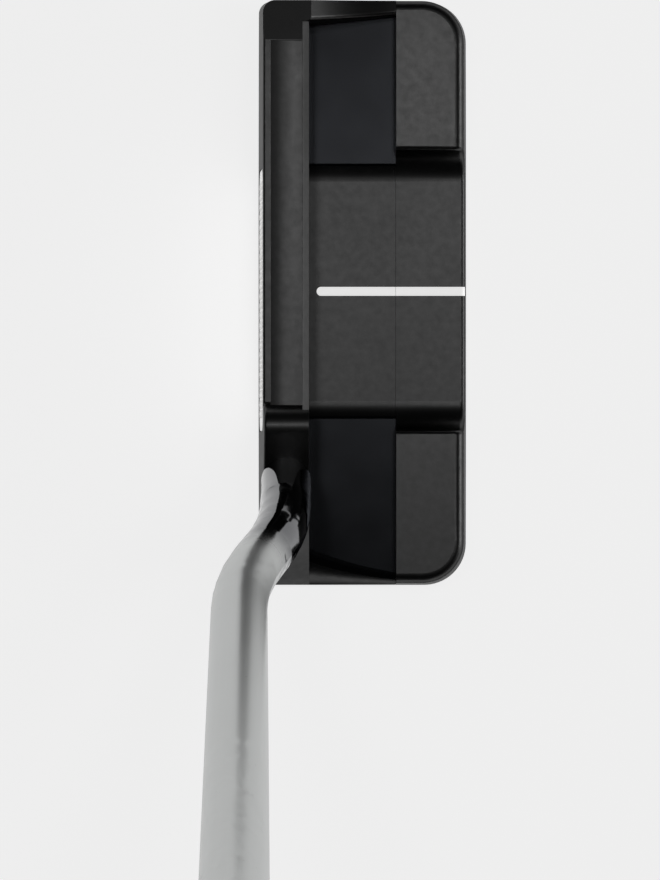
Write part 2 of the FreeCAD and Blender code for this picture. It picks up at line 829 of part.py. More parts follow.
def cut_bumper_tops(body):
    """Slope the bumper tops down to the back, and round their outer rim."""
    drop = "(dims.back_x + dims.over - dims.seam_x) * tan(dims.bumper_slope)"
    above = [
        ("dims.seam_x - dims.over", "dims.bumper_z"),
        ("dims.seam_x", "dims.bumper_z"),
        ("dims.back_x + dims.over", "dims.bumper_z - " + drop),
        ("dims.back_x + dims.over", "dims.blank_top + dims.over"),
        ("dims.seam_x - dims.over", "dims.blank_top + dims.over"),
    ]
    pocket(body, "bumper_tops", outline(body, "bumper_plan", "XZ_Plane", above))

    def outer_rim(box, middle):
        high = middle.z > size("bumper_z") - 2
        inside = middle.x < size("seam_x") - 2 or box.YLength > 50 and middle.x < size("seam_x") + 2
        return high and not inside

    dress(body, "outer_rim", "Fillet", "dims.rim_radius", outer_rim)


def cut_lap(body):
    """Open the seam side and the recess for the tongue below."""
    front = [
        ("dims.seam_x - dims.over", "-dims.over"),
        ("dims.seam_x + dims.seam_gap", "-dims.over"),
        ("dims.seam_x + dims.seam_gap", "dims.blank_top + dims.over"),
        ("dims.seam_x - dims.over", "dims.blank_top + dims.over"),
    ]
    pocket(body, "seam", outline(body, "seam_plan", "XZ_Plane", front))
    under = [
        ("dims.seam_x - 1", "-dims.tongue_half - dims.seam_gap"),
        ("dims.tongue_back_x + dims.seam_gap", "-dims.tongue_half - dims.seam_gap"),
        ("dims.tongue_back_x + dims.seam_gap", "dims.tongue_half + dims.seam_gap"),
        ("dims.seam_x - 1", "dims.tongue_half + dims.seam_gap"),
    ]
    plan = outline(body, "lap_plan", "XY_Plane", under, offset="-1")
    pocket(body, "lap", plan, "1 + dims.tongue_z + dims.bond_film", reverse=True)


def round_channel_back(body):
    """Round the rear edge of the channel floor."""
    def floor_edge(box, middle):
        low = abs(middle.z - size("floor_z")) < 0.01
        return low and middle.x > size("back_x") - 2 and box.XLength < 0.01

    dress(body, "channel_back", "Fillet", "dims.back_edge_radius", floor_edge)


def make_rear_flange():
    """Rear piece: toe and heel bumpers either side of the channel."""
    body = new_body("rear_flange")
    head_blank(body, "dims.seam_x - 6", "dims.back_x")
    round_corners(body, "back_corners", "dims.back_corner", lambda x: x > size("seam_x"))
    cut_camber(body)
    round_sole_edge(body)
    cut_bumper_tops(body)
    cut_channel(body, "-dims.back_x")
    round_channel_back(body)
    cut_lap(body)
    cut_joint_holes(body, "dims.tongue_z - 1", "dims.screw_top_z + 0.3")
    cut_rear_groove(body)
    return body


# ---------------------------------------------------------------- face insert

def make_face_insert():
    """Moulded insert, flush with the lofted face."""
    body = new_body("face_insert")
    plan = face_outline(body, "plan", "dims.insert_gap", "-dims.face_x")
    pad(body, "slab", plan, "dims.insert_deep")
    round_insert(body, "corners", "dims.insert_corner - dims.insert_gap")
    return body


def make_insert_bond():
    """Adhesive layer between the insert and the bottom of its recess."""
    body = new_body("insert_bond")
    behind = "-dims.face_x + dims.insert_deep / cos(dims.loft)"
    plan = face_outline(body, "plan", "dims.insert_corner / 2", behind)
    pad(body, "film", plan, "dims.insert_bond")
    return body


# ---------------------------------------------------------------- sight line

def make_sight_front():
    """White filled line on the front casting."""
    body = new_body("sight_line_front")
    points = front_sight_points("dims.seam_x")
    plan = outline(body, "plan", "XY_Plane", points, offset="dims.floor_z - dims.sight_deep")
    pad(body, "fill", plan, "dims.sight_deep")
    return body


def make_sight_rear():
    """White filled line on the rear flange, bent over its rear edge."""
    body = new_body("sight_line_rear")
    points = rear_sight_points("dims.seam_x + dims.seam_gap", outer=True)
    plan = outline(body, "plan", "XZ_Plane", points, offset="-dims.sight_half")
    pad(body, "fill", plan, "2 * dims.sight_half")
    return body


# ---------------------------------------------------------------- sole weights and lap joint

def make_sole_weight(label, side):
    """Stepped screw-in weight with a hexagon drive in its lower face."""
    body = new_body(label)
    centre = ("-dims.weight_x", side + "dims.weight_y")
    head = circle_sketch(body, "head_ring", "XY_Plane", *centre, ["dims.weight_head_radius"],
                         offset="dims.weight_low_z")
    pad(body, "head", head, "dims.weight_step_z - dims.weight_low_z")
    shank = circle_sketch(body, "shank_ring", "XY_Plane", *centre, ["dims.weight_shank_radius"],
                          offset="dims.weight_step_z")
    pad(body, "shank", shank, "dims.weight_top_z - dims.weight_step_z")
    corners = []
    for step in range(6):
        angle = str(60 * step)
        corners.append((centre[0] + " + dims.weight_drive * cos(" + angle + ")",
                        centre[1] + " + dims.weight_drive * sin(" + angle + ")"))
    drive = outline(body, "drive_plan", "XY_Plane", corners, offset="dims.weight_low_z")
    pocket(body, "drive", drive, "dims.weight_drive_deep", reverse=True)

    def lower_rim(box, middle):
        return box.XLength > size("weight_head_radius") and abs(middle.z - size("weight_low_z")) < 0.01

    dress(body, "lower_rim", "Chamfer", "dims.weight_chamfer", lower_rim)
    return body


def make_weight_washer(label, side):
    """Thin sealing ring between a weight and its seat."""
    body = new_body(label)
    centre = ("-dims.weight_x", side + "dims.weight_y")
    ring = circle_sketch(body, "ring", "XY_Plane", *centre,
                         ["dims.weight_head_radius", "dims.washer_inner"], offset="dims.weight_step_z")
    pad(body, "washer", ring, "dims.washer_thick")
    return body


def primitive(kind, name, place, sizes):
    """One Part primitive whose sizes and centre are bound to the sheet."""
    item = doc.addObject(kind, name)
    for axis, expression in zip("xyz", place):
        item.setExpression("Placement.Base." + axis, expression)
    for property_name, expression in sizes.items():
        item.setExpression(property_name, expression)
    return item


def join(kind, name, first, second):
    """Boolean of two objects."""
    item = doc.addObject(kind, name)
    item.Base = first
    item.Tool = second
    return item


def group(label, items):
    """Several identical loose pieces in one node."""
    item = doc.addObject("Part::Compound", label)
    item.Label = label
    item.Links = items
    doc.recompute()
    return item


def make_flange_screws():
    """Countersunk screws that hold the flange to the tongue."""
    screws = []
    for number, (place_x, place_y) in enumerate(joint_places()):
        tag = "screw_" + str(number)
        head = primitive("Part::Cone", tag + "_head", (place_x, place_y, "dims.screw_low_z"), {
            "Radius1": "dims.screw_head_radius",
            "Radius2": "dims.screw_radius",
            "Height": "dims.screw_neck_z - dims.screw_low_z",
        })
        shank = primitive("Part::Cylinder", tag + "_shank", (place_x, place_y, "dims.screw_neck_z - 1"), {
            "Radius": "dims.screw_radius",
            "Height": "dims.screw_top_z - dims.screw_neck_z + 1",
        })
        drive = doc.addObject("Part::Prism", tag + "_drive")
        drive.Polygon = 6
        drive.setExpression("Circumradius", "dims.screw_drive_radius")
        drive.setExpression("Height", "dims.screw_drive_deep + dims.screw_gap")
        drive.setExpression("Placement.Base.x", place_x)
        drive.setExpression("Placement.Base.y", place_y)
        drive.setExpression("Placement.Base.z", "dims.screw_low_z - dims.screw_gap")
        whole = join("Part::Fuse", tag + "_whole", head, shank)
        screws.append(join("Part::Cut", tag, whole, drive))
    return group("flange_screws", screws)


def make_flange_dowels():
    """Locating pins across the lap joint."""
    pins = []
    for number, (place_x, place_y) in enumerate(dowel_places()):
        pins.append(primitive("Part::Cylinder", "dowel_" + str(number),
                              (place_x, place_y, "dims.dowel_low_z"), {
                                  "Radius": "dims.dowel_radius",
                                  "Height": "dims.dowel_top_z - dims.dowel_low_z",
                              }))
    return group("flange_dowels", pins)


def make_flange_bond():
    """Adhesive film on top of the tongue, open round the screws and dowels."""
    body = new_body("flange_bond")
    points = [
        ("dims.seam_x + 0.2", "-dims.tongue_half"),
        ("dims.tongue_back_x", "-dims.tongue_half"),
        ("dims.tongue_back_x", "dims.tongue_half"),
        ("dims.seam_x + 0.2", "dims.tongue_half"),
    ]
    plan = outline(body, "plan", "XY_Plane", points, offset="dims.tongue_z")
    pad(body, "film", plan, "dims.bond_film")
    cut_joint_holes(body, "dims.tongue_z - 1", "dims.tongue_z + 1")
    return body


# ---------------------------------------------------------------- shaft

def shaft_frame():
    """Placement of the lower shaft: origin on the seat, Z along the shaft."""
    face_lean = size("seat_z") * math.tan(math.radians(size("loft")))
    middle_x = -(size("rail_back_x") + size("face_x") - face_lean) / 2
    seat = Vector(middle_x, -size("seat_y"), size("seat_z"))
    return Placement(seat, Rotation(Vector(1, 0, 0), 90 - size("lie")))


def shaft_stations():
    """Ends of the straight and bent stretches of the shaft's centre line.

    Each is (length so far, point, angle from Z towards the front), in the lower shaft's frame.
    """
    radius = size("bend_radius")
    bend = math.radians(size("bend_forward"))
    lean = math.radians(size("bend_forward") - size("bend_back"))
    length = size("shaft_straight")
    point = Vector(0, 0, length)
    stations = [(0.0, Vector(0, 0, 0), 0.0), (length, point, 0.0)]
    point = point + Vector(-radius * (1 - math.cos(bend)), 0, radius * math.sin(bend))
    length += radius * bend
    stations.append((length, point, bend))
    point = point + Vector(-math.sin(bend), 0, math.cos(bend)) * size("bend_run")
    length += size("bend_run")
    stations.append((length, point, bend))
    across = math.cos(lean) - math.cos(bend)
    along = math.sin(bend) - math.sin(lean)
    point = point + Vector(-radius * across, 0, radius * along)
    length += radius * (bend - lean)
    stations.append((length, point, lean))
    for run in (size("shaft_taper"), size("shaft_upper") - size("shaft_taper")):
        point = point + Vector(-math.sin(lean), 0, math.cos(lean)) * run
        length += run
        stations.append((length, point, lean))
    return stations


def shaft_spine(stations):
    """Centre line of the shaft: straight runs joined by two tangent arcs."""
    edges = []
    for (_, start, first), (_, end, last) in zip(stations, stations[1:]):
        if abs(first - last) < 1e-9:
            edges.append(Part.LineSegment(start, end).toShape())
            continue
        turn = 1 if last > first else -1
        inward = Vector(-math.cos(first), 0, -math.sin(first)) * turn
        centre = start + inward * size("bend_radius")
        middle_angle = (first + last) / 2
        outward = Vector(math.cos(middle_angle), 0, math.sin(middle_angle)) * turn
        middle = centre + outward * size("bend_radius")
        edges.append(Part.Arc(start, middle, end).toShape())
    return Part.Wire(edges)


def tapered_pipe(stations, radii):
    """Solid round bar along the centre line, with one radius for each station."""
    shell = Part.BRepOffsetAPI.MakePipeShell(shaft_spine(stations))
    for (_, point, angle), radius in zip(stations, radii):
        direction = Vector(-math.sin(angle), 0, math.cos(angle))
        ring = Part.Wire([Part.Circle(point, direction, radius).toShape()])
        shell.add(ring, False, False)
    shell.build()
    shell.makeSolid()
    return shell.shape()


def station_radii(stations, tip, butt):
    """Radius at each station: an even taper that ends where the upper shaft turns parallel."""
    full = stations[-2][0]
    return [tip + (butt - tip) * min(station[0] / full, 1.0) for station in stations]


def make_shaft():
    """Double-bend steel tube. Its taper through two bends has no primitive, so code makes it."""
    stations = shaft_stations()
    outer_radii = station_radii(stations, size("shaft_tip_radius"), size("shaft_butt_radius"))
    inner_radii = station_radii(stations, size("shaft_tip_bore"), size("shaft_butt_bore"))
    outer = tapered_pipe(stations, outer_radii)
    inner = tapered_pipe(stations, inner_radii)
    item = doc.addObject("Part::Feature", "shaft")
    item.Label = "shaft"
    item.Shape = outer.cut(inner)
    item.Placement = shaft_frame()
    return item


def make_shaft_epoxy():
    """Cured adhesive sleeve between the post and the shaft."""
    body = new_body("shaft_epoxy")
    ring = circle_sketch(body, "ring", "XY_Plane", "0", "0",
                         ["dims.shaft_tip_bore - 0.01", "dims.post_radius + 0.01"], offset="0.05")
    pad(body, "sleeve", ring, "dims.post_long - 0.6")
    body.Placement = shaft_frame()
    return body


def make_tip_plug():
    """Plug in the shaft, just above the post."""
    body = new_body("tip_plug")
    ring = circle_sketch(body, "ring", "XY_Plane", "0", "0", ["dims.plug_radius"], offset="dims.plug_low")
    pad(body, "plug", ring, "dims.plug_high - dims.plug_low")
    body.Placement = shaft_frame()
    return body


# ---------------------------------------------------------------- grip

def upper_frame():
    """Placement of the straight upper shaft: origin at the end of the second bend, Z up the shaft."""
    _, point, angle = shaft_stations()[4]
    turn = Rotation(Vector(0, 1, 0), -math.degrees(angle))
    return shaft_frame().multiply(Placement(point, turn))


def make_grip_tape():
    """Mounting tape wound on the shaft under the grip."""
    body = new_body("grip_tape")
    ring = circle_sketch(body, "ring", "XY_Plane", "0", "0",
                         ["dims.shaft_butt_radius + dims.tape_thick", "dims.shaft_butt_radius + 0.01"],
                         offset="dims.tape_low")
    pad(body, "tape", ring, "dims.shaft_upper - dims.tape_low")
    body.Placement = upper_frame()
    return body


def grip_section(body, name, section, inset):
    """One section of the grip: a round back cut by a flat front, shrunk by an inset."""
    along, radius, centre, flat = ["dims.grip_" + section + "_" + key
                                   for key in ("along", "radius", "centre", "flat")]
    round_radius = "(" + radius + " - " + inset + ")"
    front = "(" + flat + " - " + inset + ")"
    half = "sqrt(" + round_radius + "^2 - (" + front + " + " + centre + ")^2)"
    points = [
        ("-" + half, front),
        (half, front, "-" + round_radius),
        ("0", "-" + centre + " - " + round_radius, "-" + round_radius),
    ]
    return outline(body, name, "XY_Plane", points, offset=along)


def grip_loft(body, inset, name, kind="PartDesign::AdditiveLoft"):
    """Loft the grip's shape from its lower end to its butt."""
    sections = [grip_section(body, name + "_" + key, key, inset) for key in GRIP_SECTIONS]
    return loft(body, name, sections, kind)


def make_grip_core():
    """Moulded underlisting between the tape and the skin."""
    body = new_body("grip_core")
    grip_loft(body, "dims.skin_thick + dims.grip_gap", "core")
    ring = circle_sketch(body, "bore_ring", "XY_Plane", "0", "0",
                         ["dims.shaft_butt_radius + dims.tape_thick + 0.02"],
                         offset="dims.grip_low - 1")
    pocket(body, "bore", ring, "dims.grip_high - dims.grip_low + 2", reverse=True)
    body.Placement = upper_frame()
    return body


def make_grip_skin():
    """Outer skin of the grip."""
    body = new_body("grip_skin")
    grip_loft(body, "0", "outer")
    grip_loft(body, "dims.skin_thick", "inner", "PartDesign::SubtractiveLoft")
    body.Placement = upper_frame()
    return body


def make_grip_collar():
    """Moulded ring that closes the lower end of the grip."""
    body = new_body("grip_collar")
    ring = circle_sketch(body, "ring", "XY_Plane", "0", "0",
                         ["dims.collar_radius", "dims.shaft_butt_radius + 0.05"], offset="dims.collar_low")
    pad(body, "collar", ring, "dims.collar_high - dims.collar_low")

    def lower_edge(box, middle):
        return box.XLength > 2 * size("collar_radius") - 0.5 and abs(middle.z - size("collar_low")) < 0.01

    dress(body, "lower_edge", "Fillet", "dims.collar_edge_radius", lower_edge)
    body.Placement = upper_frame()
    return body


def make_grip_cap():
    """Butt cap with a plug inside the shaft and a vent hole."""
    body = new_body("grip_cap")
    section = grip_section(body, "disc_plan", "butt", "0")
    section.setExpression("AttachmentOffset.Base.z", "dims.grip_high + 0.05")
    pad(body, "disc", section, "dims.cap_high - dims.grip_high - 0.05")

    def upper_edge(box, middle):
        return abs(middle.z - size("cap_high")) < 0.01

    dress(body, "upper_edge", "Fillet", "dims.cap_edge_radius", upper_edge)
    plug = circle_sketch(body, "plug_ring", "XY_Plane", "0", "0", ["dims.cap_plug_radius"],
                         offset="dims.grip_high - dims.cap_plug_deep")
    pad(body, "plug", plug, "dims.cap_plug_deep + 1")
    vent = circle_sketch(body, "vent_ring", "XY_Plane", "0", "0", ["dims.cap_vent_radius"],
                         offset="dims.grip_high - dims.cap_plug_deep - 1")
    pocket(body, "vent", vent, "dims.cap_plug_deep + 2 * dims.over", reverse=True)
    body.Placement = upper_frame()
    return body


# ---------------------------------------------------------------- export

def export_all(nodes):
    """Check every object, then write one STEP file for each node."""
    doc.recompute()
    for item in doc.Objects:
        if "Invalid" in item.State or "Error" in item.State:
            raise RuntimeError(item.Name + " is " + str(item.State))
    os.makedirs("parts", exist_ok=True)
    for node in nodes:
        if node.Shape.isNull() or not node.Shape.isValid():
            raise RuntimeError(node.Label + " has no valid shape")
        node.Shape.exportStep("parts/" + node.Label + ".step")
        print(node.Label, round(node.Shape.Volume, 1), node.Shape.BoundBox)


def main():
    """Build every node and write it."""
    fill_sheet()
    nodes = [
        make_head_body(),
        make_rear_flange(),
        make_face_insert(),
        make_insert_bond(),
        make_sight_front(),
        make_sight_rear(),
        make_sole_weight("sole_weight_toe", ""),
        make_sole_weight("sole_weight_heel", "-"),
        make_weight_washer("weight_washer_toe", ""),
        make_weight_washer("weight_washer_heel", "-"),
        make_flange_screws(),
        make_flange_dowels(),
        make_flange_bond(),
        make_shaft(),
        make_shaft_epoxy(),
        make_tip_plug(),
        make_grip_tape(),
        make_grip_core(),
        make_grip_skin(),
        make_grip_collar(),
        make_grip_cap(),
    ]
    export_all(nodes)


main()
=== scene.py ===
"""Looks of the mallet putter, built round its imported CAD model.

The frame is in metres, as the CAD model has it: +X runs from the face to the back, +Y from the
heel to the toe and +Z up. The sole touches the floor under the sight line, at the origin.
"""

from __future__ import annotations

import json
import logging
import math
from dataclasses import dataclass
from enum import Enum
from typing import Union

import bpy
from mathutils import Matrix, Vector

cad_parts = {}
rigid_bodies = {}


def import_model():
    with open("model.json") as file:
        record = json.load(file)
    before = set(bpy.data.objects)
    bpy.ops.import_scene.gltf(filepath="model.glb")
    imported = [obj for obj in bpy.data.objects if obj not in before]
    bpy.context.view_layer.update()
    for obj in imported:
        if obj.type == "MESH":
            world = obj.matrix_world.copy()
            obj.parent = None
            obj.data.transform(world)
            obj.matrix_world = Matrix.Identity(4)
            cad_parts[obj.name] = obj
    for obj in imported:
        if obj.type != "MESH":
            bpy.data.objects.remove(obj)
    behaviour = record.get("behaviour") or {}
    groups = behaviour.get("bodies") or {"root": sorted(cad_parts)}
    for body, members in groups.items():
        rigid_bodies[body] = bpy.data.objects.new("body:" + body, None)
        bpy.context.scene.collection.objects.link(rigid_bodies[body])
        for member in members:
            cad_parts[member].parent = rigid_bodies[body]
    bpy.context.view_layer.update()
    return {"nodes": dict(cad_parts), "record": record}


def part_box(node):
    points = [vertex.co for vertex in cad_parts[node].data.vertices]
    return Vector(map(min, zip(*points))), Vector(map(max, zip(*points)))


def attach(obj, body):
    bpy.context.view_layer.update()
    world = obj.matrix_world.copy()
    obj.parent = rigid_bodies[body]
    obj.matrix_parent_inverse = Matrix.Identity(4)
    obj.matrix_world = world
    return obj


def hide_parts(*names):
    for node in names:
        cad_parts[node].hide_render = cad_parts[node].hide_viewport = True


for leftover in list(bpy.data.objects):
    bpy.data.objects.remove(leftover)

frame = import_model()

BODY = "root"
MM = 0.001

log = logging.getLogger("putter")


# ---------------------------------------------------------------------------------------------
# Node graphs
# ---------------------------------------------------------------------------------------------


class Wire:
    """An output socket that takes part in arithmetic; each operation adds a Math node."""

    def __init__(self, graph: Graph, socket: bpy.types.NodeSocket) -> None:
        """Keep the socket and the graph that it is in."""
        self.graph = graph
        self.socket = socket

    def __add__(self, other: Feed) -> Wire:
        """This value plus another."""
        return self.graph.math("ADD", self, other)

    def __radd__(self, other: Feed) -> Wire:
        """Another value plus this one."""
        return self.graph.math("ADD", other, self)

    def __sub__(self, other: Feed) -> Wire:
        """This value less another."""
        return self.graph.math("SUBTRACT", self, other)

    def __rsub__(self, other: Feed) -> Wire:
        """Another value less this one."""
        return self.graph.math("SUBTRACT", other, self)

    def __mul__(self, other: Feed) -> Wire:
        """This value times another."""
        return self.graph.math("MULTIPLY", self, other)

    def __rmul__(self, other: Feed) -> Wire:
        """Another value times this one."""
        return self.graph.math("MULTIPLY", other, self)

    def __truediv__(self, other: Feed) -> Wire:
        """This value divided by another."""
        return self.graph.math("DIVIDE", self, other)

    def __gt__(self, other: Feed) -> Wire:
        """One where this value is the larger, else nought."""
        return self.graph.math("GREATER_THAN", self, other)

    def __lt__(self, other: Feed) -> Wire:
        """One where this value is the smaller, else nought."""
        return self.graph.math("LESS_THAN", self, other)

    def __abs__(self) -> Wire:
        """This value without its sign."""
        return self.graph.math("ABSOLUTE", self)


Feed = Union[Wire, float, int, tuple]
Colour = tuple


class Graph:
    """A node tree that is built with one call for each node."""

    def __init__(self, tree: bpy.types.NodeTree) -> None:
        """Start on a tree."""
        self.tree = tree

    def feed(self, socket: bpy.types.NodeSocket, value: object) -> None:
        """Link a wire to a socket, or set the socket's own value.

        Args:
            socket: The input socket.
            value: A wire, or the value that the socket takes.
        """
        if isinstance(value, Wire):
            self.tree.links.new(value.socket, socket)
        elif value is not None:
            socket.default_value = value

    def socket(self, sockets: bpy.types.bpy_prop_collection, key: str | int) -> bpy.types.NodeSocket:
        """Find a socket by its number, its identifier or its name.

        Args:
            sockets: A node's inputs or outputs.
            key: The number, identifier or name.

        Returns:
            The socket.
        """
        if isinstance(key, int):
            return sockets[key]
        for candidate in sockets:
            if candidate.identifier == key:
                return candidate
        return sockets[key]

    def node(
        self,
        kind: str,
        settings: dict[str, object] | None = None,
        values: dict[str | int, object] | None = None,
    ) -> bpy.types.Node:
        """Add a node.

        Args:
            kind: The node's type.
            settings: Its properties, set first. "stops" are a ramp's (place, colour) pairs.
            values: Wires or values for its input sockets.

        Returns:
            The node.
        """
        made = self.tree.nodes.new(kind)
        for name, value in (settings or {}).items():
            if name == "stops":
                self.set_stops(made.color_ramp, value)
            else:
                setattr(made, name, value)
        for key, value in (values or {}).items():
            self.feed(self.socket(made.inputs, key), value)
        return made

    @staticmethod
    def set_stops(ramp: bpy.types.ColorRamp, stops: list[tuple[float, tuple]]) -> None:
        """Give a ramp its stops.

        Args:
            ramp: The colour ramp.
            stops: (place, colour) pairs in rising order.
        """
        while len(ramp.elements) < len(stops):
            ramp.elements.new(1.0)
        for element, (place, colour) in zip(ramp.elements, stops):
            element.position = place
            element.color = colour

    def wire(
        self,
        kind: str,
        settings: dict[str, object] | None = None,
        values: dict[str | int, object] | None = None,
        output: str | int = 0,
    ) -> Wire:
        """Add a node and take one of its outputs.

        Args:
            kind: The node's type.
            settings: Its properties.
            values: Wires or values for its input sockets.
            output: The output's number, identifier or name.

        Returns:
            The output, as a wire.
        """
        made = self.node(kind, settings, values)
        return Wire(self, self.socket(made.outputs, output))

    def math(self, operation: str, first: Feed, second: Feed | None = None) -> Wire:
        """Add a Math node for one operation on values."""
        return self.wire("ShaderNodeMath", {"operation": operation}, {0: first, 1: second})

    def vector(self, operation: str, first: Feed, second: Feed | None = None) -> Wire:
        """Add a Vector Math node for one operation on vectors."""
        return self.wire("ShaderNodeVectorMath", {"operation": operation}, {0: first, 1: second})

    def split(self, vector: Wire) -> tuple[Wire, Wire, Wire]:
        """Take a vector apart.

        Args:
            vector: The vector.

        Returns:
            Its X, Y and Z.
        """
        parts = self.node("ShaderNodeSeparateXYZ", None, {0: vector})
        return tuple(Wire(self, parts.outputs[axis]) for axis in "XYZ")

    def join(self, x: Feed, y: Feed, z: Feed) -> Wire:
        """Make a vector from three values."""
        return self.wire("ShaderNodeCombineXYZ", None, {"X": x, "Y": y, "Z": z})

    def fade(self, value: Feed, low: float, high: float) -> Wire:
        """Ease from 0 to 1 while a value rises.

        Args:
            value: The value that rises.
            low: The value at which the change starts.
            high: The value at which it is over.

        Returns:
            The eased number.
        """
        return self.wire(
            "ShaderNodeMapRange",
            {"interpolation_type": "SMOOTHSTEP"},
            {"Value": value, "From Min": low, "From Max": high},
        )


class Paint(Graph):
    """A material's shader under construction; LAYER_SHARE is how strong a finer layer of spots is."""

    LAYER_SHARE = 0.55

    def __init__(self, name: str) -> None:
        """Make an empty material of that name."""
        self.material = bpy.data.materials.new(name)
        self.material.use_nodes = True
        super().__init__(self.material.node_tree)
        self.tree.nodes.clear()
        self.place = self.wire("ShaderNodeTexCoord", None, None, "Object")

    def noise(self, size: float, detail: float = 2.0, place: Wire | None = None) -> Wire:
        """Soft random spots.

        Args:
            size: A spot's width in metres.
            detail: How many finer layers there are.
            place: The coordinates, if not the object's own.

        Returns:
            A value about 0.5.
        """
        values = {"Vector": place or self.place, "Scale": 1.0 / size, "Detail": detail}
        values["Roughness"] = self.LAYER_SHARE
        return self.wire("ShaderNodeTexNoise", {"noise_dimensions": "3D"}, values, "Fac")

    def stretched(self, sizes: tuple[float, float, float], detail: float = 2.0) -> Wire:
        """Random streaks.

        Args:
            sizes: A streak's size along X, Y and Z in metres.
            detail: How many finer layers there are.

        Returns:
            A value about 0.5.
        """
        scale = tuple(1.0 / size for size in sizes)
        return self.noise(1.0, detail, self.vector("MULTIPLY", self.place, scale))

    def tint(self, factor: Feed, first: object, second: object) -> Wire:
        """Mix two colours.

        Args:
            factor: 0 for the first and 1 for the second.
            first: A colour or a wire.
            second: A colour or a wire.

        Returns:
            The mixed colour.
        """
        return self.wire(
            "ShaderNodeMix",
            {"data_type": "RGBA"},
            {"Factor_Float": factor, "A_Color": first, "B_Color": second},
            "Result_Color",
        )

    def relief(self, height: Wire, depth: float, strength: Feed) -> Wire:
        """Turn heights into a bumped normal.

        Args:
            height: A height from 0 to 1.
            depth: The real height of 1, in metres.
            strength: How much of it shows.

        Returns:
            The normal.
        """
        values = {"Height": height, "Distance": depth, "Strength": strength}
        return self.wire("ShaderNodeBump", None, values, "Normal")

    def vary(self, middle: float, *parts: tuple[Wire, float]) -> Wire:
        """A value that random spots push up and down.

        Args:
            middle: The value where the spots are at their middle.
            parts: (spots, full swing) pairs.

        Returns:
            The varied value.
        """
        varied = middle
        for spots, swing in parts:
            varied = varied + (spots - 0.5) * swing
        return varied

    def finish(self, **sockets: object) -> bpy.types.Material:
        """End with the surface shader.

        Args:
            sockets: Values or wires by the shader's socket names, with _ for a space.

        Returns:
            The material.
        """
        values = {name.replace("_", " "): value for name, value in sockets.items()}
        surface = self.wire("ShaderNodeBsdfPrincipled", None, values, "BSDF")
        self.node("ShaderNodeOutputMaterial", None, {"Surface": surface})
        return self.material


class Kind(Enum):
    """What a tree's named input holds."""

    NUMBER = "NodeSocketFloat"
    COUNT = "NodeSocketInt"
    VECTOR = "NodeSocketVector"


class Growth(Graph):
    """A Geometry Nodes tree that makes one kind of detail."""

    def __init__(self, name: str) -> None:
        """Make a tree with a geometry input and output."""
        super().__init__(bpy.data.node_groups.new(name, "GeometryNodeTree"))
        self.identifiers: dict[str, str] = {}
        self.inlet = self.tree.nodes.new("NodeGroupInput")
        self.outlet = self.tree.nodes.new("NodeGroupOutput")
        self.tree.interface.new_socket("Geometry", in_out="INPUT", socket_type="NodeSocketGeometry")
        self.tree.interface.new_socket("Geometry", in_out="OUTPUT", socket_type="NodeSocketGeometry")
        self.base = Wire(self, self.inlet.outputs[0])

    def given(self, label: str, kind: Kind = Kind.NUMBER) -> Wire:
        """Add a named input.

        Args:
            label: The input's name.
            kind: What it holds.

        Returns:
            The input, as a wire.
        """
        made = self.tree.interface.new_socket(label, in_out="INPUT", socket_type=kind.value)
        self.identifiers[label] = made.identifier
        return Wire(self, self.socket(self.inlet.outputs, made.identifier))

    def finish(self, geometry: Wire, material: bpy.types.Material) -> None:
        """End the tree with real geometry in one material.

        Args:
            geometry: What was made.
            material: Its material.
        """
        real = self.wire("GeometryNodeRealizeInstances", None, {"Geometry": geometry})
        painted = self.wire("GeometryNodeSetMaterial", None, {"Geometry": real, "Material": material})
        self.feed(self.outlet.inputs[0], painted)

    def grow(self, item: bpy.types.Object, values: dict[str, object]) -> bpy.types.Object:
        """Run the tree on an object and keep the result as its plain mesh.

        Args:
            item: The object whose mesh the tree starts from.
            values: Values for the named inputs.

        Returns:
            The same object.
        """
        modifier = item.modifiers.new("growth", "NODES")
        modifier.node_group = self.tree
        for label, value in values.items():
            modifier[self.identifiers[label]] = value
        graph = bpy.context.evaluated_depsgraph_get()
        mesh = bpy.data.meshes.new_from_object(item.evaluated_get(graph))
        item.modifiers.remove(modifier)
        item.data = mesh
        mesh.name = item.name
        return item


# ---------------------------------------------------------------------------------------------
# Finishes
# ---------------------------------------------------------------------------------------------


def grey(value: float, warm: float = 0.0) -> Colour:
    """A grey with its red raised and its blue lowered by a share of it."""
    return (value * (1 + warm), value, value * (1 - warm), 1.0)


class Milling(Enum):
    """Which surfaces of a casting are milled smooth."""

    NONE = 0
    LOW_DECKS = 1


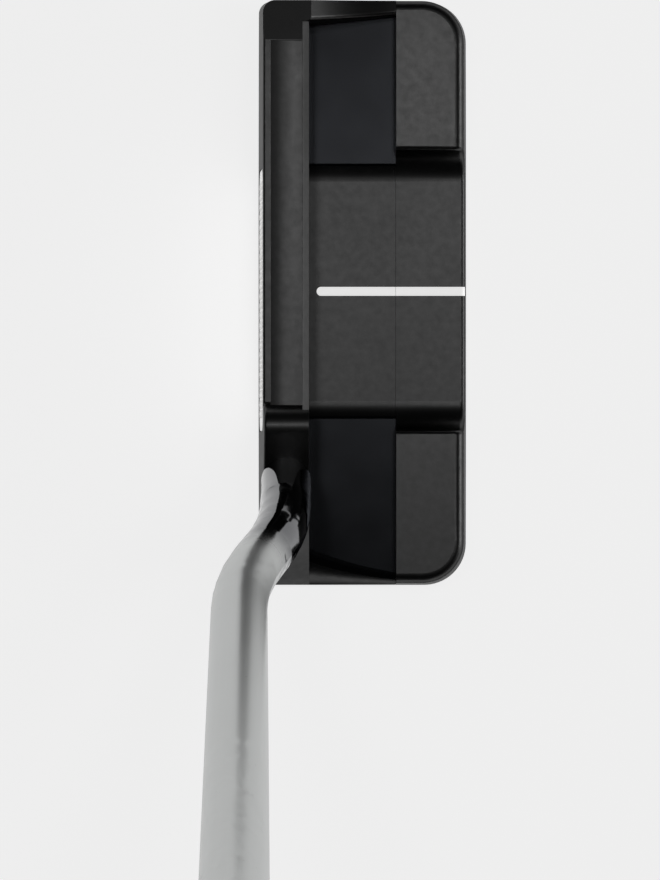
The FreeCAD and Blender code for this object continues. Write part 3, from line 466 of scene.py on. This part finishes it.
@dataclass(frozen=True)
class SatinBlack:
    """Satin black coat on bead-blasted metal, with smoother milled decks."""

    name: str
    milling: Milling = Milling.NONE
    value: float = 0.080
    light_share: float = 1.15
    dark_share: float = 0.80
    edge_tint: float = 0.3
    roughness: float = 0.33
    mottle_size: float = 1.6 * MM
    mottle_swing: float = 0.08
    wear_size: float = 9.0 * MM
    wear_swing: float = 0.06
    blast_size: float = 0.35 * MM
    blast_depth: float = 0.010 * MM
    blast_strength: float = 0.3
    deck_colour: Colour = (0.044, 0.046, 0.051, 1.0)
    deck_roughness: float = 0.18
    deck_swing: float = 0.04
    deck_low: float = 8.7 * MM
    deck_high: float = 9.9 * MM
    deck_start: float = 25.4 * MM
    deck_front: float = -10.9 * MM

    def deck(self, paint: Paint) -> Feed:
        """Where the smooth decks are.

        Args:
            paint: The shader that is being built.

        Returns:
            One on the decks and nought elsewhere.
        """
        if self.milling is Milling.NONE:
            return 0.0
        x, y, z = paint.split(paint.place)
        level = (z > self.deck_low) * (z < self.deck_high)
        return level * (abs(y) > self.deck_start) * (x > self.deck_front)

    def make(self) -> bpy.types.Material:
        """Build the material.

        Returns:
            The material.
        """
        paint = Paint(self.name)
        deck = self.deck(paint)
        rough = 1.0 - deck
        blast = paint.noise(self.blast_size, 3.0)
        mottle = paint.noise(self.mottle_size, 3.0)
        wear = paint.noise(self.wear_size, 2.0)
        blasted = paint.vary(self.roughness, (mottle, self.mottle_swing), (wear, self.wear_swing))
        milled = paint.vary(self.deck_roughness, (wear, self.deck_swing))
        light, dark = (grey(self.value * share) for share in (self.light_share, self.dark_share))
        tint = (self.edge_tint, self.edge_tint, self.edge_tint, 1.0)
        return paint.finish(
            Base_Color=paint.tint(deck, paint.tint(mottle, light, dark), self.deck_colour),
            Metallic=1.0,
            Roughness=blasted * rough + milled * deck,
            Specular_Tint=tint,
            Normal=paint.relief(blast, self.blast_depth, self.blast_strength * rough),
        )


@dataclass(frozen=True)
class Chrome:
    """Chrome plate: mirror-bright on the bent tip with a painted dark reflection there, pale and brushed
    above it.
    """

    name: str
    colour: Colour = (0.50, 0.51, 0.505, 1.0)
    roughness: float = 0.34
    # painted reflection: the dark tip colour stands in for the black head mirrored in the chrome near it
    tip_painted_reflection_colour: Colour = (0.11, 0.112, 0.118, 1.0)
    tip_roughness: float = 0.07
    tip_end: float = 64 * MM
    tip_fade: float = 12 * MM
    haze_size: float = 14 * MM
    haze_swing: float = 0.04
    tip_haze_swing: float = 0.02
    line_sizes: tuple[float, float, float] = (0.25 * MM, 40 * MM, 80 * MM)
    line_swing: float = 0.04
    line_depth: float = 0.0008 * MM
    line_strength: float = 0.2
    pit_size: float = 1.1 * MM
    pit_limit: float = 0.86
    pit_share: float = 0.25
    pit_value: float = 0.25

    def make(self) -> bpy.types.Material:
        """Build the material.

        Returns:
            The material.
        """
        paint = Paint(self.name)
        _, _, z = paint.split(paint.place)
        upper = paint.fade(z, self.tip_end, self.tip_end + self.tip_fade)
        haze = paint.noise(self.haze_size, 3.0)
        lines = paint.stretched(self.line_sizes, 1.0)
        pits = paint.noise(self.pit_size, 0.0) > self.pit_limit
        brushed = paint.vary(self.roughness, (haze, self.haze_swing), (lines, self.line_swing))
        bright = paint.vary(self.tip_roughness, (haze, self.tip_haze_swing))
        # painted dark reflection on the tip, fading into the plain chrome colour above tip_end
        chrome_and_painted_reflection = paint.tint(upper, self.tip_painted_reflection_colour, self.colour)
        return paint.finish(
            Base_Color=paint.tint(pits * self.pit_share, chrome_and_painted_reflection, grey(self.pit_value)),
            Metallic=1.0,
            Roughness=bright + (brushed - bright) * upper,
            Normal=paint.relief(lines, self.line_depth, self.line_strength * upper),
        )


@dataclass(frozen=True)
class Steel:
    """Turned steel, with the tool's rings round given centres, or with fine upright streaks."""

    name: str
    centres: tuple[tuple[float, float], ...] = ()
    colour: Colour = (0.56, 0.555, 0.545, 1.0)
    roughness: float = 0.3
    ring_step: float = 0.12 * MM
    streak_long: float = 6 * MM
    turned_swing: float = 0.16
    turned_depth: float = 0.01 * MM
    turned_strength: float = 0.5
    stain_size: float = 2.5 * MM
    stain_swing: float = 0.10
    stain_share: float = 0.8
    stain_warmth: float = 0.02

    def rings(self, paint: Paint) -> Wire:
        """Distance from the nearest centre.

        Args:
            paint: The shader that is being built.

        Returns:
            The distance in metres.
        """
        flat = paint.vector("MULTIPLY", paint.place, (1.0, 1.0, 0.0))
        nearest = None
        for x, y in self.centres:
            away = paint.wire(
                "ShaderNodeVectorMath", {"operation": "DISTANCE"}, {0: flat, 1: (x, y, 0.0)}, "Value"
            )
            nearest = away if nearest is None else paint.math("MINIMUM", nearest, away)
        return nearest

    def turned(self, paint: Paint) -> Wire:
        """The tool's marks: rings round the centres, or fine upright streaks where none is given.

        Args:
            paint: The shader that is being built.

        Returns:
            A value about 0.5.
        """
        if self.centres:
            across = self.rings(paint) / self.ring_step
            return paint.noise(1.0, 1.0, paint.join(across, 0.0, 0.0))
        return paint.stretched((self.ring_step, self.ring_step, self.streak_long), 1.0)

    def make(self) -> bpy.types.Material:
        """Build the material.

        Returns:
            The material.
        """
        paint = Paint(self.name)
        turned = self.turned(paint)
        stain = paint.noise(self.stain_size, 3.0)
        stained = grey(self.colour[0] * self.stain_share, self.stain_warmth)
        return paint.finish(
            Base_Color=paint.tint(stain, self.colour, stained),
            Metallic=1.0,
            Roughness=paint.vary(self.roughness, (turned, self.turned_swing), (stain, self.stain_swing)),
            Normal=paint.relief(turned, self.turned_depth, self.turned_strength),
        )


@dataclass(frozen=True)
class Plain:
    """A moulded or poured finish: mottled colour, grain and a little unevenness, with an optional
    painted glow that makes the surface give off light of its own.
    """

    name: str
    colour: Colour
    second: Colour
    roughness: float = 0.5
    grain: float = 0.3 * MM
    grain_swing: float = 0.06
    depth: float = 0.01 * MM
    strength: float = 0.5
    mottle: float = 3.0 * MM
    mottle_swing: float = 0.12
    painted_glow: float = 0.0

    def make(self) -> bpy.types.Material:
        """Build the material.

        Returns:
            The material.
        """
        paint = Paint(self.name)
        fine = paint.noise(self.grain, 2.0)
        broad = paint.noise(self.mottle, 3.0)
        colour = paint.tint(broad, self.colour, self.second)
        return paint.finish(
            Base_Color=colour,
            Roughness=paint.vary(self.roughness, (broad, self.mottle_swing), (fine, self.grain_swing)),
            Emission_Color=colour,
            # painted glow: emission that makes a surface that is no lamp give off light
            Emission_Strength=self.painted_glow,
            Normal=paint.relief(fine, self.depth, self.strength),
        )


# ---------------------------------------------------------------------------------------------
# Sub-assemblies
# ---------------------------------------------------------------------------------------------


def dress(node: str, material: bpy.types.Material) -> None:
    """Give a CAD node its finish.

    Args:
        node: The node's name.
        material: Its material.
    """
    item = frame["nodes"][node]
    for material_slot in item.material_slots:
        material_slot.material = material
    log.info("%s dressed as %s", node, material.name)


def new_piece(name: str, points: list[Vector], faces: list[tuple[int, ...]]) -> bpy.types.Object:
    """Make an object from points and faces that are already in their places.

    Args:
        name: The piece's name.
        points: Its corners in metres.
        faces: Its faces, as the numbers of their corners, seen from outside in turning order.

    Returns:
        The object.
    """
    mesh = bpy.data.meshes.new(name)
    mesh.from_pydata([tuple(point) for point in points], [], faces)
    item = bpy.data.objects.new(name, mesh)
    bpy.context.scene.collection.objects.link(item)
    return item


def settle(item: bpy.types.Object, node: str) -> None:
    """Put a made piece on the body in place of a CAD node.

    Args:
        item: The piece.
        node: The CAD node that it stands for.
    """
    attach(item, BODY)
    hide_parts(node)
    log.info("%s built in place of %s, %d faces", item.name, node, len(item.data.polygons))


@dataclass
class FaceInsert:
    """Moulded face insert with raised diamond pads, on the lofted face."""

    loft: float = math.radians(3.0)
    corner: float = 3.95 * MM
    corner_steps: int = 8
    deep: float = 4.8 * MM
    pad_rise: float = 0.14 * MM
    pad_wide: float = 0.92 * MM
    pad_top: float = 0.72
    pad_pitch: float = 2.0 * MM
    margin: float = 2.6 * MM

    def place(self) -> tuple[Matrix, float, float]:
        """Find the face's plane and the insert's size from the CAD model.

        Returns:
            The matrix from the face's own axes (Y along it, Z up it, X out to the back) to the
            frame, and the insert's length and height.
        """
        low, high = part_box("face_insert")
        drop = self.deep * math.sin(self.loft)
        height = (high[2] - low[2] - drop) / math.cos(self.loft)
        middle_z = low[2] + drop + height * math.cos(self.loft) / 2
        middle_x = low[0] + height * math.sin(self.loft) / 2
        middle = Vector((middle_x, (low[1] + high[1]) / 2, middle_z))
        turn = Matrix.Rotation(self.loft, 4, "Y")
        return Matrix.Translation(middle) @ turn, high[1] - low[1], height

    def outline(self, length: float, height: float, inset: float, depth: float) -> list[Vector]:
        """One ring of the slab's rounded outline.

        Args:
            length: The slab's length along the face.
            height: Its height up the face.
            inset: How far the ring is drawn in.
            depth: How far the ring is behind the face.

        Returns:
            The ring's points in the face's own axes.
        """
        radius = self.corner - inset
        corners = ((1, 1), (-1, 1), (-1, -1), (1, -1))
        ring = []
        for number, (side, up) in enumerate(corners):
            for step in range(self.corner_steps + 1):
                angle = math.pi / 2 * (number + step / self.corner_steps)
                y = side * (length / 2 - self.corner) + radius * math.cos(angle)
                z = up * (height / 2 - self.corner) + radius * math.sin(angle)
                ring.append(Vector((depth, y, z)))
        return ring

    def slab(self, length: float, height: float) -> bpy.types.Object:
        """Make the slab, with its front set back by the height of the pads.

        Args:
            length: The slab's length along the face.
            height: Its height up the face.

        Returns:
            The slab in the face's own axes.
        """
        bevel = self.pad_rise
        rings = [
            self.outline(length, height, bevel, bevel),
            self.outline(length, height, 0.0, 2 * bevel),
            self.outline(length, height, 0.0, self.deep),
        ]
        count = len(rings[0])
        points = [point for ring in rings for point in ring]
        faces = [tuple(range(count))[::-1], tuple(range(2 * count, 3 * count))]
        for row in range(2):
            for step in range(count):
                after = (step + 1) % count
                start = row * count
                above = start + count
                faces.append((start + step, start + after, above + after, above + step))
        return new_piece("insert_with_pads", points, faces)

    def pads(self) -> Growth:
        """Lay out the pads in rows over the slab.

        Returns:
            The tree.
        """
        growth = Growth("insert_pads")
        up = growth.given("Field up the face")
        along = growth.given("Field along the face")
        rows = growth.given("Rows", Kind.COUNT)
        columns = growth.given("Columns", Kind.COUNT)
        wide = growth.given("Pad width")
        rise = growth.given("Pad rise")
        turn = growth.given("Placing turn", Kind.VECTOR)
        shift = growth.given("Placing shift", Kind.VECTOR)
        grid = growth.wire(
            "GeometryNodeMeshGrid",
            None,
            {"Size X": up, "Size Y": along, "Vertices X": rows, "Vertices Y": columns},
            "Mesh",
        )
        pad = growth.wire(
            "GeometryNodeMeshCone",
            {"fill_type": "NGON"},
            {"Vertices": 4, "Radius Top": wide * self.pad_top, "Radius Bottom": wide, "Depth": rise},
            "Mesh",
        )
        spread = growth.wire("GeometryNodeInstanceOnPoints", None, {"Points": grid, "Instance": pad})
        stand = {"Rotation": (0.0, -math.pi / 2, 0.0), "Translation": growth.join(rise, 0.0, 0.0)}
        upright = growth.wire("GeometryNodeTransform", None, {"Geometry": spread, **stand})
        both = growth.node("GeometryNodeJoinGeometry")
        for part in (upright, growth.base):
            growth.tree.links.new(part.socket, both.inputs[0])
        placed = growth.wire(
            "GeometryNodeTransform",
            None,
            {"Geometry": Wire(growth, both.outputs[0]), "Rotation": turn, "Translation": shift},
        )
        growth.finish(placed, self.polymer())
        return growth

    @staticmethod
    def polymer() -> bpy.types.Material:
        """The insert's pale polymer, with a painted glow: it gives off light of its own."""
        # painted glow: the polymer gives off light of its own to look brighter
        return Plain("insert_polymer", grey(0.86), grey(0.82, 0.01), roughness=0.4, painted_glow=0.3).make()

    def build(self) -> None:
        """Make the slab, grow its pads and put it on the face."""
        matrix, length, height = self.place()
        item = self.slab(length, height)
        columns = int((length - 2 * self.margin) / self.pad_pitch) + 1
        rows = int((height - 2 * self.margin) / self.pad_pitch) + 1
        values = {
            "Field up the face": (rows - 1) * self.pad_pitch,
            "Field along the face": (columns - 1) * self.pad_pitch,
            "Rows": rows,
            "Columns": columns,
            "Pad width": self.pad_wide,
            "Pad rise": self.pad_rise,
            "Placing turn": tuple(matrix.to_euler()),
            "Placing shift": tuple(matrix.translation),
        }
        settle(self.pads().grow(item, values), "face_insert")


@dataclass
class Head:
    """Cast head, its bolted rear flange and the fillers between them."""

    weight_x: float = -9.5 * MM
    weight_y: float = 42 * MM

    def castings(self) -> None:
        """Dress the two castings and the adhesives that hold them, the insert and the shaft."""
        dress("head_body", SatinBlack("satin_black_head", Milling.LOW_DECKS).make())
        dress("rear_flange", SatinBlack("satin_black_flange").make())
        bond = Plain("bond_film", (0.42, 0.22, 0.05, 1), (0.5, 0.3, 0.08, 1), roughness=0.35).make()
        for node in ("insert_bond", "flange_bond", "shaft_epoxy"):
            dress(node, bond)

    def sight_line(self) -> None:
        """Dress the two halves of the white line, whose paint has a painted glow: it gives off light of
        its own to look brighter.
        """
        white = Plain(
            "sight_paint",
            grey(0.86),
            grey(0.82, 0.01),
            grain=0.12 * MM,
            depth=0.004 * MM,
            mottle=1.6 * MM,
            # painted glow: the white paint gives off light of its own, standing in for strong light
            # falling on it
            painted_glow=0.78,
        ).make()
        for node in ("sight_line_front", "sight_line_rear"):
            dress(node, white)

    def fasteners(self) -> None:
        """Dress the sole weights with their washers, the screws and the dowels."""
        centres = tuple((self.weight_x, side * self.weight_y) for side in (1, -1))
        weights = Steel("turned_weight", centres).make()
        washer = Plain("washer_rubber", grey(0.02), grey(0.03), roughness=0.6).make()
        for side in ("toe", "heel"):
            dress("sole_weight_" + side, weights)
            dress("weight_washer_" + side, washer)
        dress("flange_screws", Steel("screw_steel", roughness=0.35).make())
        dress("flange_dowels", Steel("dowel_steel", roughness=0.25).make())

    def build(self) -> None:
        """Dress the head and put in its face insert."""
        self.castings()
        self.sight_line()
        FaceInsert().build()
        self.fasteners()


@dataclass
class Shaft:
    """Chromed shaft with its plug."""

    def build(self) -> None:
        """Dress the shaft and the plug inside it."""
        dress("shaft", Chrome("shaft_chrome").make())
        light, dark = (0.42, 0.28, 0.16, 1), (0.3, 0.18, 0.1, 1)
        cork = Plain("plug_cork", light, dark, roughness=0.8, grain=0.5 * MM, depth=0.05 * MM)
        dress("tip_plug", cork.make())


@dataclass(frozen=True)
class GripStation:
    """One section of the grip: a round back cut by a flat front."""

    along: float
    radius: float
    centre: float
    flat: float


@dataclass
class GripSkin:
    """Outer skin of the pistol grip, with rows of raised cord pads."""

    stations: tuple[GripStation, ...] = (
        GripStation(506.2 * MM, 10.8 * MM, 0.0, 10.2 * MM),
        GripStation(575.0 * MM, 12.2 * MM, 0.4 * MM, 10.2 * MM),
        GripStation(650.0 * MM, 13.0 * MM, 0.8 * MM, 10.3 * MM),
        GripStation(705.0 * MM, 14.2 * MM, 1.8 * MM, 10.3 * MM),
        GripStation(740.0 * MM, 15.6 * MM, 3.0 * MM, 10.3 * MM),
        GripStation(760.0 * MM, 15.2 * MM, 2.8 * MM, 10.3 * MM),
    )
    hold: str = "grip_hold"
    hold_along: float = 633.1 * MM
    thick: float = 1.6 * MM
    inset: float = 0.5 * MM
    relief: float = 0.3 * MM
    pad_scale: float = 0.74
    rings: int = 112
    inner_rings: int = 14
    round_steps: int = 36
    flat_steps: int = 12
    plain_rings: int = 4

    def axes(self) -> tuple[Vector, Vector, Vector, Vector]:
        """Find the grip's own axes from the record.

        Returns:
            The point on the axis at the record's mount, then the directions across the flat,
            out of the flat and up the shaft.
        """
        mounts = {mount["name"]: mount for mount in frame["record"]["mounts"]}
        mount = mounts[self.hold]
        up = Vector(mount["axis"]).normalized()
        ahead = Vector((0.0, up.z, -up.y)).normalized()
        across = ahead.cross(up).normalized()
        return Vector(mount["pos_m"]), across, ahead, up

    def shape(self, along: float) -> GripStation:
        """Section at a distance, by a smooth curve through the stations.

        Args:
            along: The distance along the upper shaft.

        Returns:
            The section there.
        """
        last = len(self.stations) - 1
        number = 0
        while number < last - 1 and along > self.stations[number + 1].along:
            number += 1
        near = [self.stations[min(max(number + step, 0), last)] for step in (-1, 0, 1, 2)]
        run = near[2].along - near[1].along
        share = (along - near[1].along) / run
        values = []
        for key in ("radius", "centre", "flat"):
            before, start, end, after = (getattr(station, key) for station in near)
            slope_in = (end - before) / max(near[2].along - near[0].along, MM) * run
            slope_out = (after - start) / max(near[3].along - near[1].along, MM) * run
            square = share * share
            cube = square * share
            values.append(
                (2 * cube - 3 * square + 1) * start
                + (cube - 2 * square + share) * slope_in
                + (3 * square - 2 * cube) * end
                + (cube - square) * slope_out
            )
        return GripStation(along, *values)

    def ring(self, along: float, inset: float) -> list[Vector]:
        """One ring of points round the grip.

        Args:
            along: The distance along the upper shaft.
            inset: How far the ring is drawn in.

        Returns:
            Its points, first round the back and then across the flat front.
        """
        shape = self.shape(along)
        origin, across, ahead, up = self.axes()
        radius = shape.radius - inset
        flat = shape.flat - inset
        start = math.asin((flat + shape.centre) / radius)
        turn = math.pi + 2 * start
        places = []
        for step in range(self.round_steps):
            angle = start - turn * step / self.round_steps
            places.append((radius * math.cos(angle), radius * math.sin(angle) - shape.centre))
        half = radius * math.cos(start)
        for step in range(self.flat_steps):
            places.append((-half + 2 * half * step / self.flat_steps, flat))
        base = origin + up * (along - self.hold_along)
        return [base + across * x + ahead * y for x, y in places]

    def tube(self) -> bpy.types.Object:
        """Make the skin as a closed tube of four-sided faces.

        Returns:
            The tube, with each face's column and row stored on it.
        """
        low = self.stations[0].along
        run = self.stations[-1].along - low
        rings = [self.ring(low + run * step / self.rings, self.inset) for step in range(self.rings + 1)]
        for step in range(self.inner_rings, -1, -1):
            rings.append(self.ring(low + run * step / self.inner_rings, self.thick))
        count = len(rings[0])
        points = [point for ring in rings for point in ring]
        faces = []
        for row in range(len(rings)):
            for step in range(count):
                after = (step + 1) % count
                above = (row + 1) % len(rings) * count
                start = row * count
                faces.append((start + step, start + after, above + after, above + step)[::-1])
        item = new_piece("grip_skin_cord", points, faces)
        for name, values in (
            ("column", [number % count for number in range(len(faces))]),
            ("row", [number // count for number in range(len(faces))]),
        ):
            layer = item.data.attributes.new(name, "FLOAT", "FACE")
            layer.data.foreach_set("value", [float(value) for value in values])
        return item

    def cord(self) -> Growth:
        """Raise every second face as a pad, inside plain bands at both ends.

        Returns:
            The tree.
        """
        growth = Growth("grip_cord")
        first = growth.given("First row")
        last = growth.given("Last row")
        relief = growth.given("Relief")
        scale = growth.given("Pad scale")
        column, row = (
            growth.wire("GeometryNodeInputNamedAttribute", {"data_type": "FLOAT"}, {"Name": name})
            for name in ("column", "row")
        )
        odd = growth.math("MODULO", column + row, 2.0)
        pads = odd * (row > first) * (row < last)
        raised = growth.node(
            "GeometryNodeExtrudeMesh",
            {"mode": "FACES"},
            {"Mesh": growth.base, "Selection": pads, "Offset Scale": relief, "Individual": True},
        )
        narrowed = growth.wire(
            "GeometryNodeScaleElements",
            {"domain": "FACE"},
            {
                "Geometry": Wire(growth, raised.outputs["Mesh"]),
                "Selection": Wire(growth, raised.outputs["Top"]),
                "Scale": scale,
            },
        )
        growth.finish(narrowed, Plain("grip_rubber", grey(0.022), grey(0.03), roughness=0.62).make())
        return growth

    def build(self) -> None:
        """Make the tube, raise its cord and put it on the grip."""
        values = {
            "First row": float(self.plain_rings),
            "Last row": float(self.rings - 1 - self.plain_rings),
            "Relief": self.relief,
            "Pad scale": self.pad_scale,
        }
        settle(self.cord().grow(self.tube(), values), "grip_skin")


@dataclass
class Grip:
    """Moulded grip: tape, core, skin, collar and cap."""

    def build(self) -> None:
        """Dress the grip's parts."""
        tape = Plain("mounting_tape", (0.62, 0.5, 0.34, 1), (0.7, 0.6, 0.44, 1), roughness=0.7).make()
        dress("grip_tape", tape)
        foam = Plain("core_foam", grey(0.02), grey(0.03), roughness=0.8).make()
        dress("grip_core", foam)
        GripSkin().build()
        trim = Plain("grip_trim", grey(0.018), grey(0.024), roughness=0.5).make()
        dress("grip_collar", trim)
        dress("grip_cap", trim)


# ---------------------------------------------------------------------------------------------
# Studio
# ---------------------------------------------------------------------------------------------


@dataclass(frozen=True)
class Softbox:
    """A square soft light that looks at the head."""

    name: str
    place: tuple[float, float, float]
    side: float
    radiance: float
    aim: tuple[float, float, float] = (-5 * MM, 0.0, 0.0)

    def build(self) -> None:
        """Hang the light, out of the camera's sight."""
        lamp = bpy.data.lights.new(self.name, "AREA")
        lamp.shape = "RECTANGLE"
        lamp.size = self.side
        lamp.size_y = self.side
        lamp.energy = self.radiance * math.pi * self.side * self.side
        item = bpy.data.objects.new(self.name, lamp)
        item.location = self.place
        look = Vector(self.aim) - Vector(self.place)
        item.rotation_euler = look.to_track_quat("-Z", "Y").to_euler()
        item.visible_camera = False
        bpy.context.scene.collection.objects.link(item)


@dataclass
class Studio:
    """Pale floor, soft light and the camera."""

    floor_half: float = 30.0
    floor_drop: float = 0.05 * MM
    floor_value: float = 0.3
    floor_speck: float = 3 * MM
    floor_speck_share: float = 0.99
    floor_glow: float = 0.82
    sky_horizon: float = 0.3
    sky_dark: float = 0.012
    sky_dark_from: float = 0.04
    camera_place: tuple[float, float, float] = (-6.62 * MM, -30.2 * MM, 1.0)
    sensor: float = 36.0
    lens: float = 199.76
    nearest: float = 0.01
    farthest: float = 100.0
    softboxes: tuple[Softbox, ...] = (
        Softbox("softbox_front", (-0.116, 0.045, 0.79), 0.09, 7.4),
        Softbox("softbox_back", (0.106, 0.045, 0.79), 0.09, 4.4),
        Softbox("softbox_toe", (0.132, 0.145, 0.776), 0.11, 3.4),
        Softbox("softbox_rear", (0.282, 0.0, 0.747), 0.13, 3.0),
        Softbox("softbox_low", (2.95, 0.0, 0.52), 1.15, 3.0),
    )

    def floor(self) -> None:
        """Lay the floor."""
        half = self.floor_half
        corners = ((-half, -half), (half, -half), (half, half), (-half, half))
        points = [Vector((x, y, -self.floor_drop)) for x, y in corners]
        item = new_piece("floor", points, [(0, 1, 2, 3)])
        paint = Paint("studio_floor")
        speck = paint.noise(self.floor_speck, 2.0)
        second = grey(self.floor_value * self.floor_speck_share)
        item.data.materials.append(
            paint.finish(
                Base_Color=paint.tint(speck, grey(self.floor_value), second),
                Roughness=1.0,
                Specular_IOR_Level=0.0,
                Emission_Color=(1.0, 1.0, 1.0, 1.0),
                Emission_Strength=self.floor_glow,
            )
        )

    def sky(self) -> None:
        """Surround the studio: pale at the horizon and dark higher up."""
        world = bpy.data.worlds.new("studio")
        bpy.context.scene.world = world
        world.use_nodes = True
        graph = Graph(world.node_tree)
        graph.tree.nodes.clear()
        direction = graph.wire("ShaderNodeTexCoord", None, None, "Generated")
        _, _, up = graph.split(direction)
        stops = [
            (0.0, grey(self.sky_horizon)),
            (self.sky_dark_from, grey(self.sky_dark)),
            (1.0, grey(self.sky_dark)),
        ]
        ramp = graph.wire("ShaderNodeValToRGB", {"stops": stops}, {"Fac": up}, "Color")
        light = graph.wire("ShaderNodeBackground", None, {"Color": ramp, "Strength": 1.0})
        graph.node("ShaderNodeOutputWorld", None, {"Surface": light})

    def camera(self) -> None:
        """Place the camera straight above the head."""
        lens = bpy.data.cameras.new("camera")
        lens.sensor_width = self.sensor
        lens.lens = self.lens
        lens.clip_start = self.nearest
        lens.clip_end = self.farthest
        item = bpy.data.objects.new("camera", lens)
        item.location = self.camera_place
        bpy.context.scene.collection.objects.link(item)
        bpy.context.scene.camera = item

    def build(self) -> None:
        """Set up the floor, the lights, the surroundings and the camera."""
        bpy.context.scene.view_settings.view_transform = "Standard"
        self.floor()
        self.sky()
        for softbox in self.softboxes:
            softbox.build()
        self.camera()


def main() -> None:
    """Build every sub-assembly in order, then the studio."""
    logging.basicConfig(level=logging.INFO, format="%(message)s")
    for assembly in (Head(), Shaft(), Grip()):
        assembly.build()
        log.info("%s built", type(assembly).__name__)
    Studio().build()


if __name__ == "__main__":
    main()
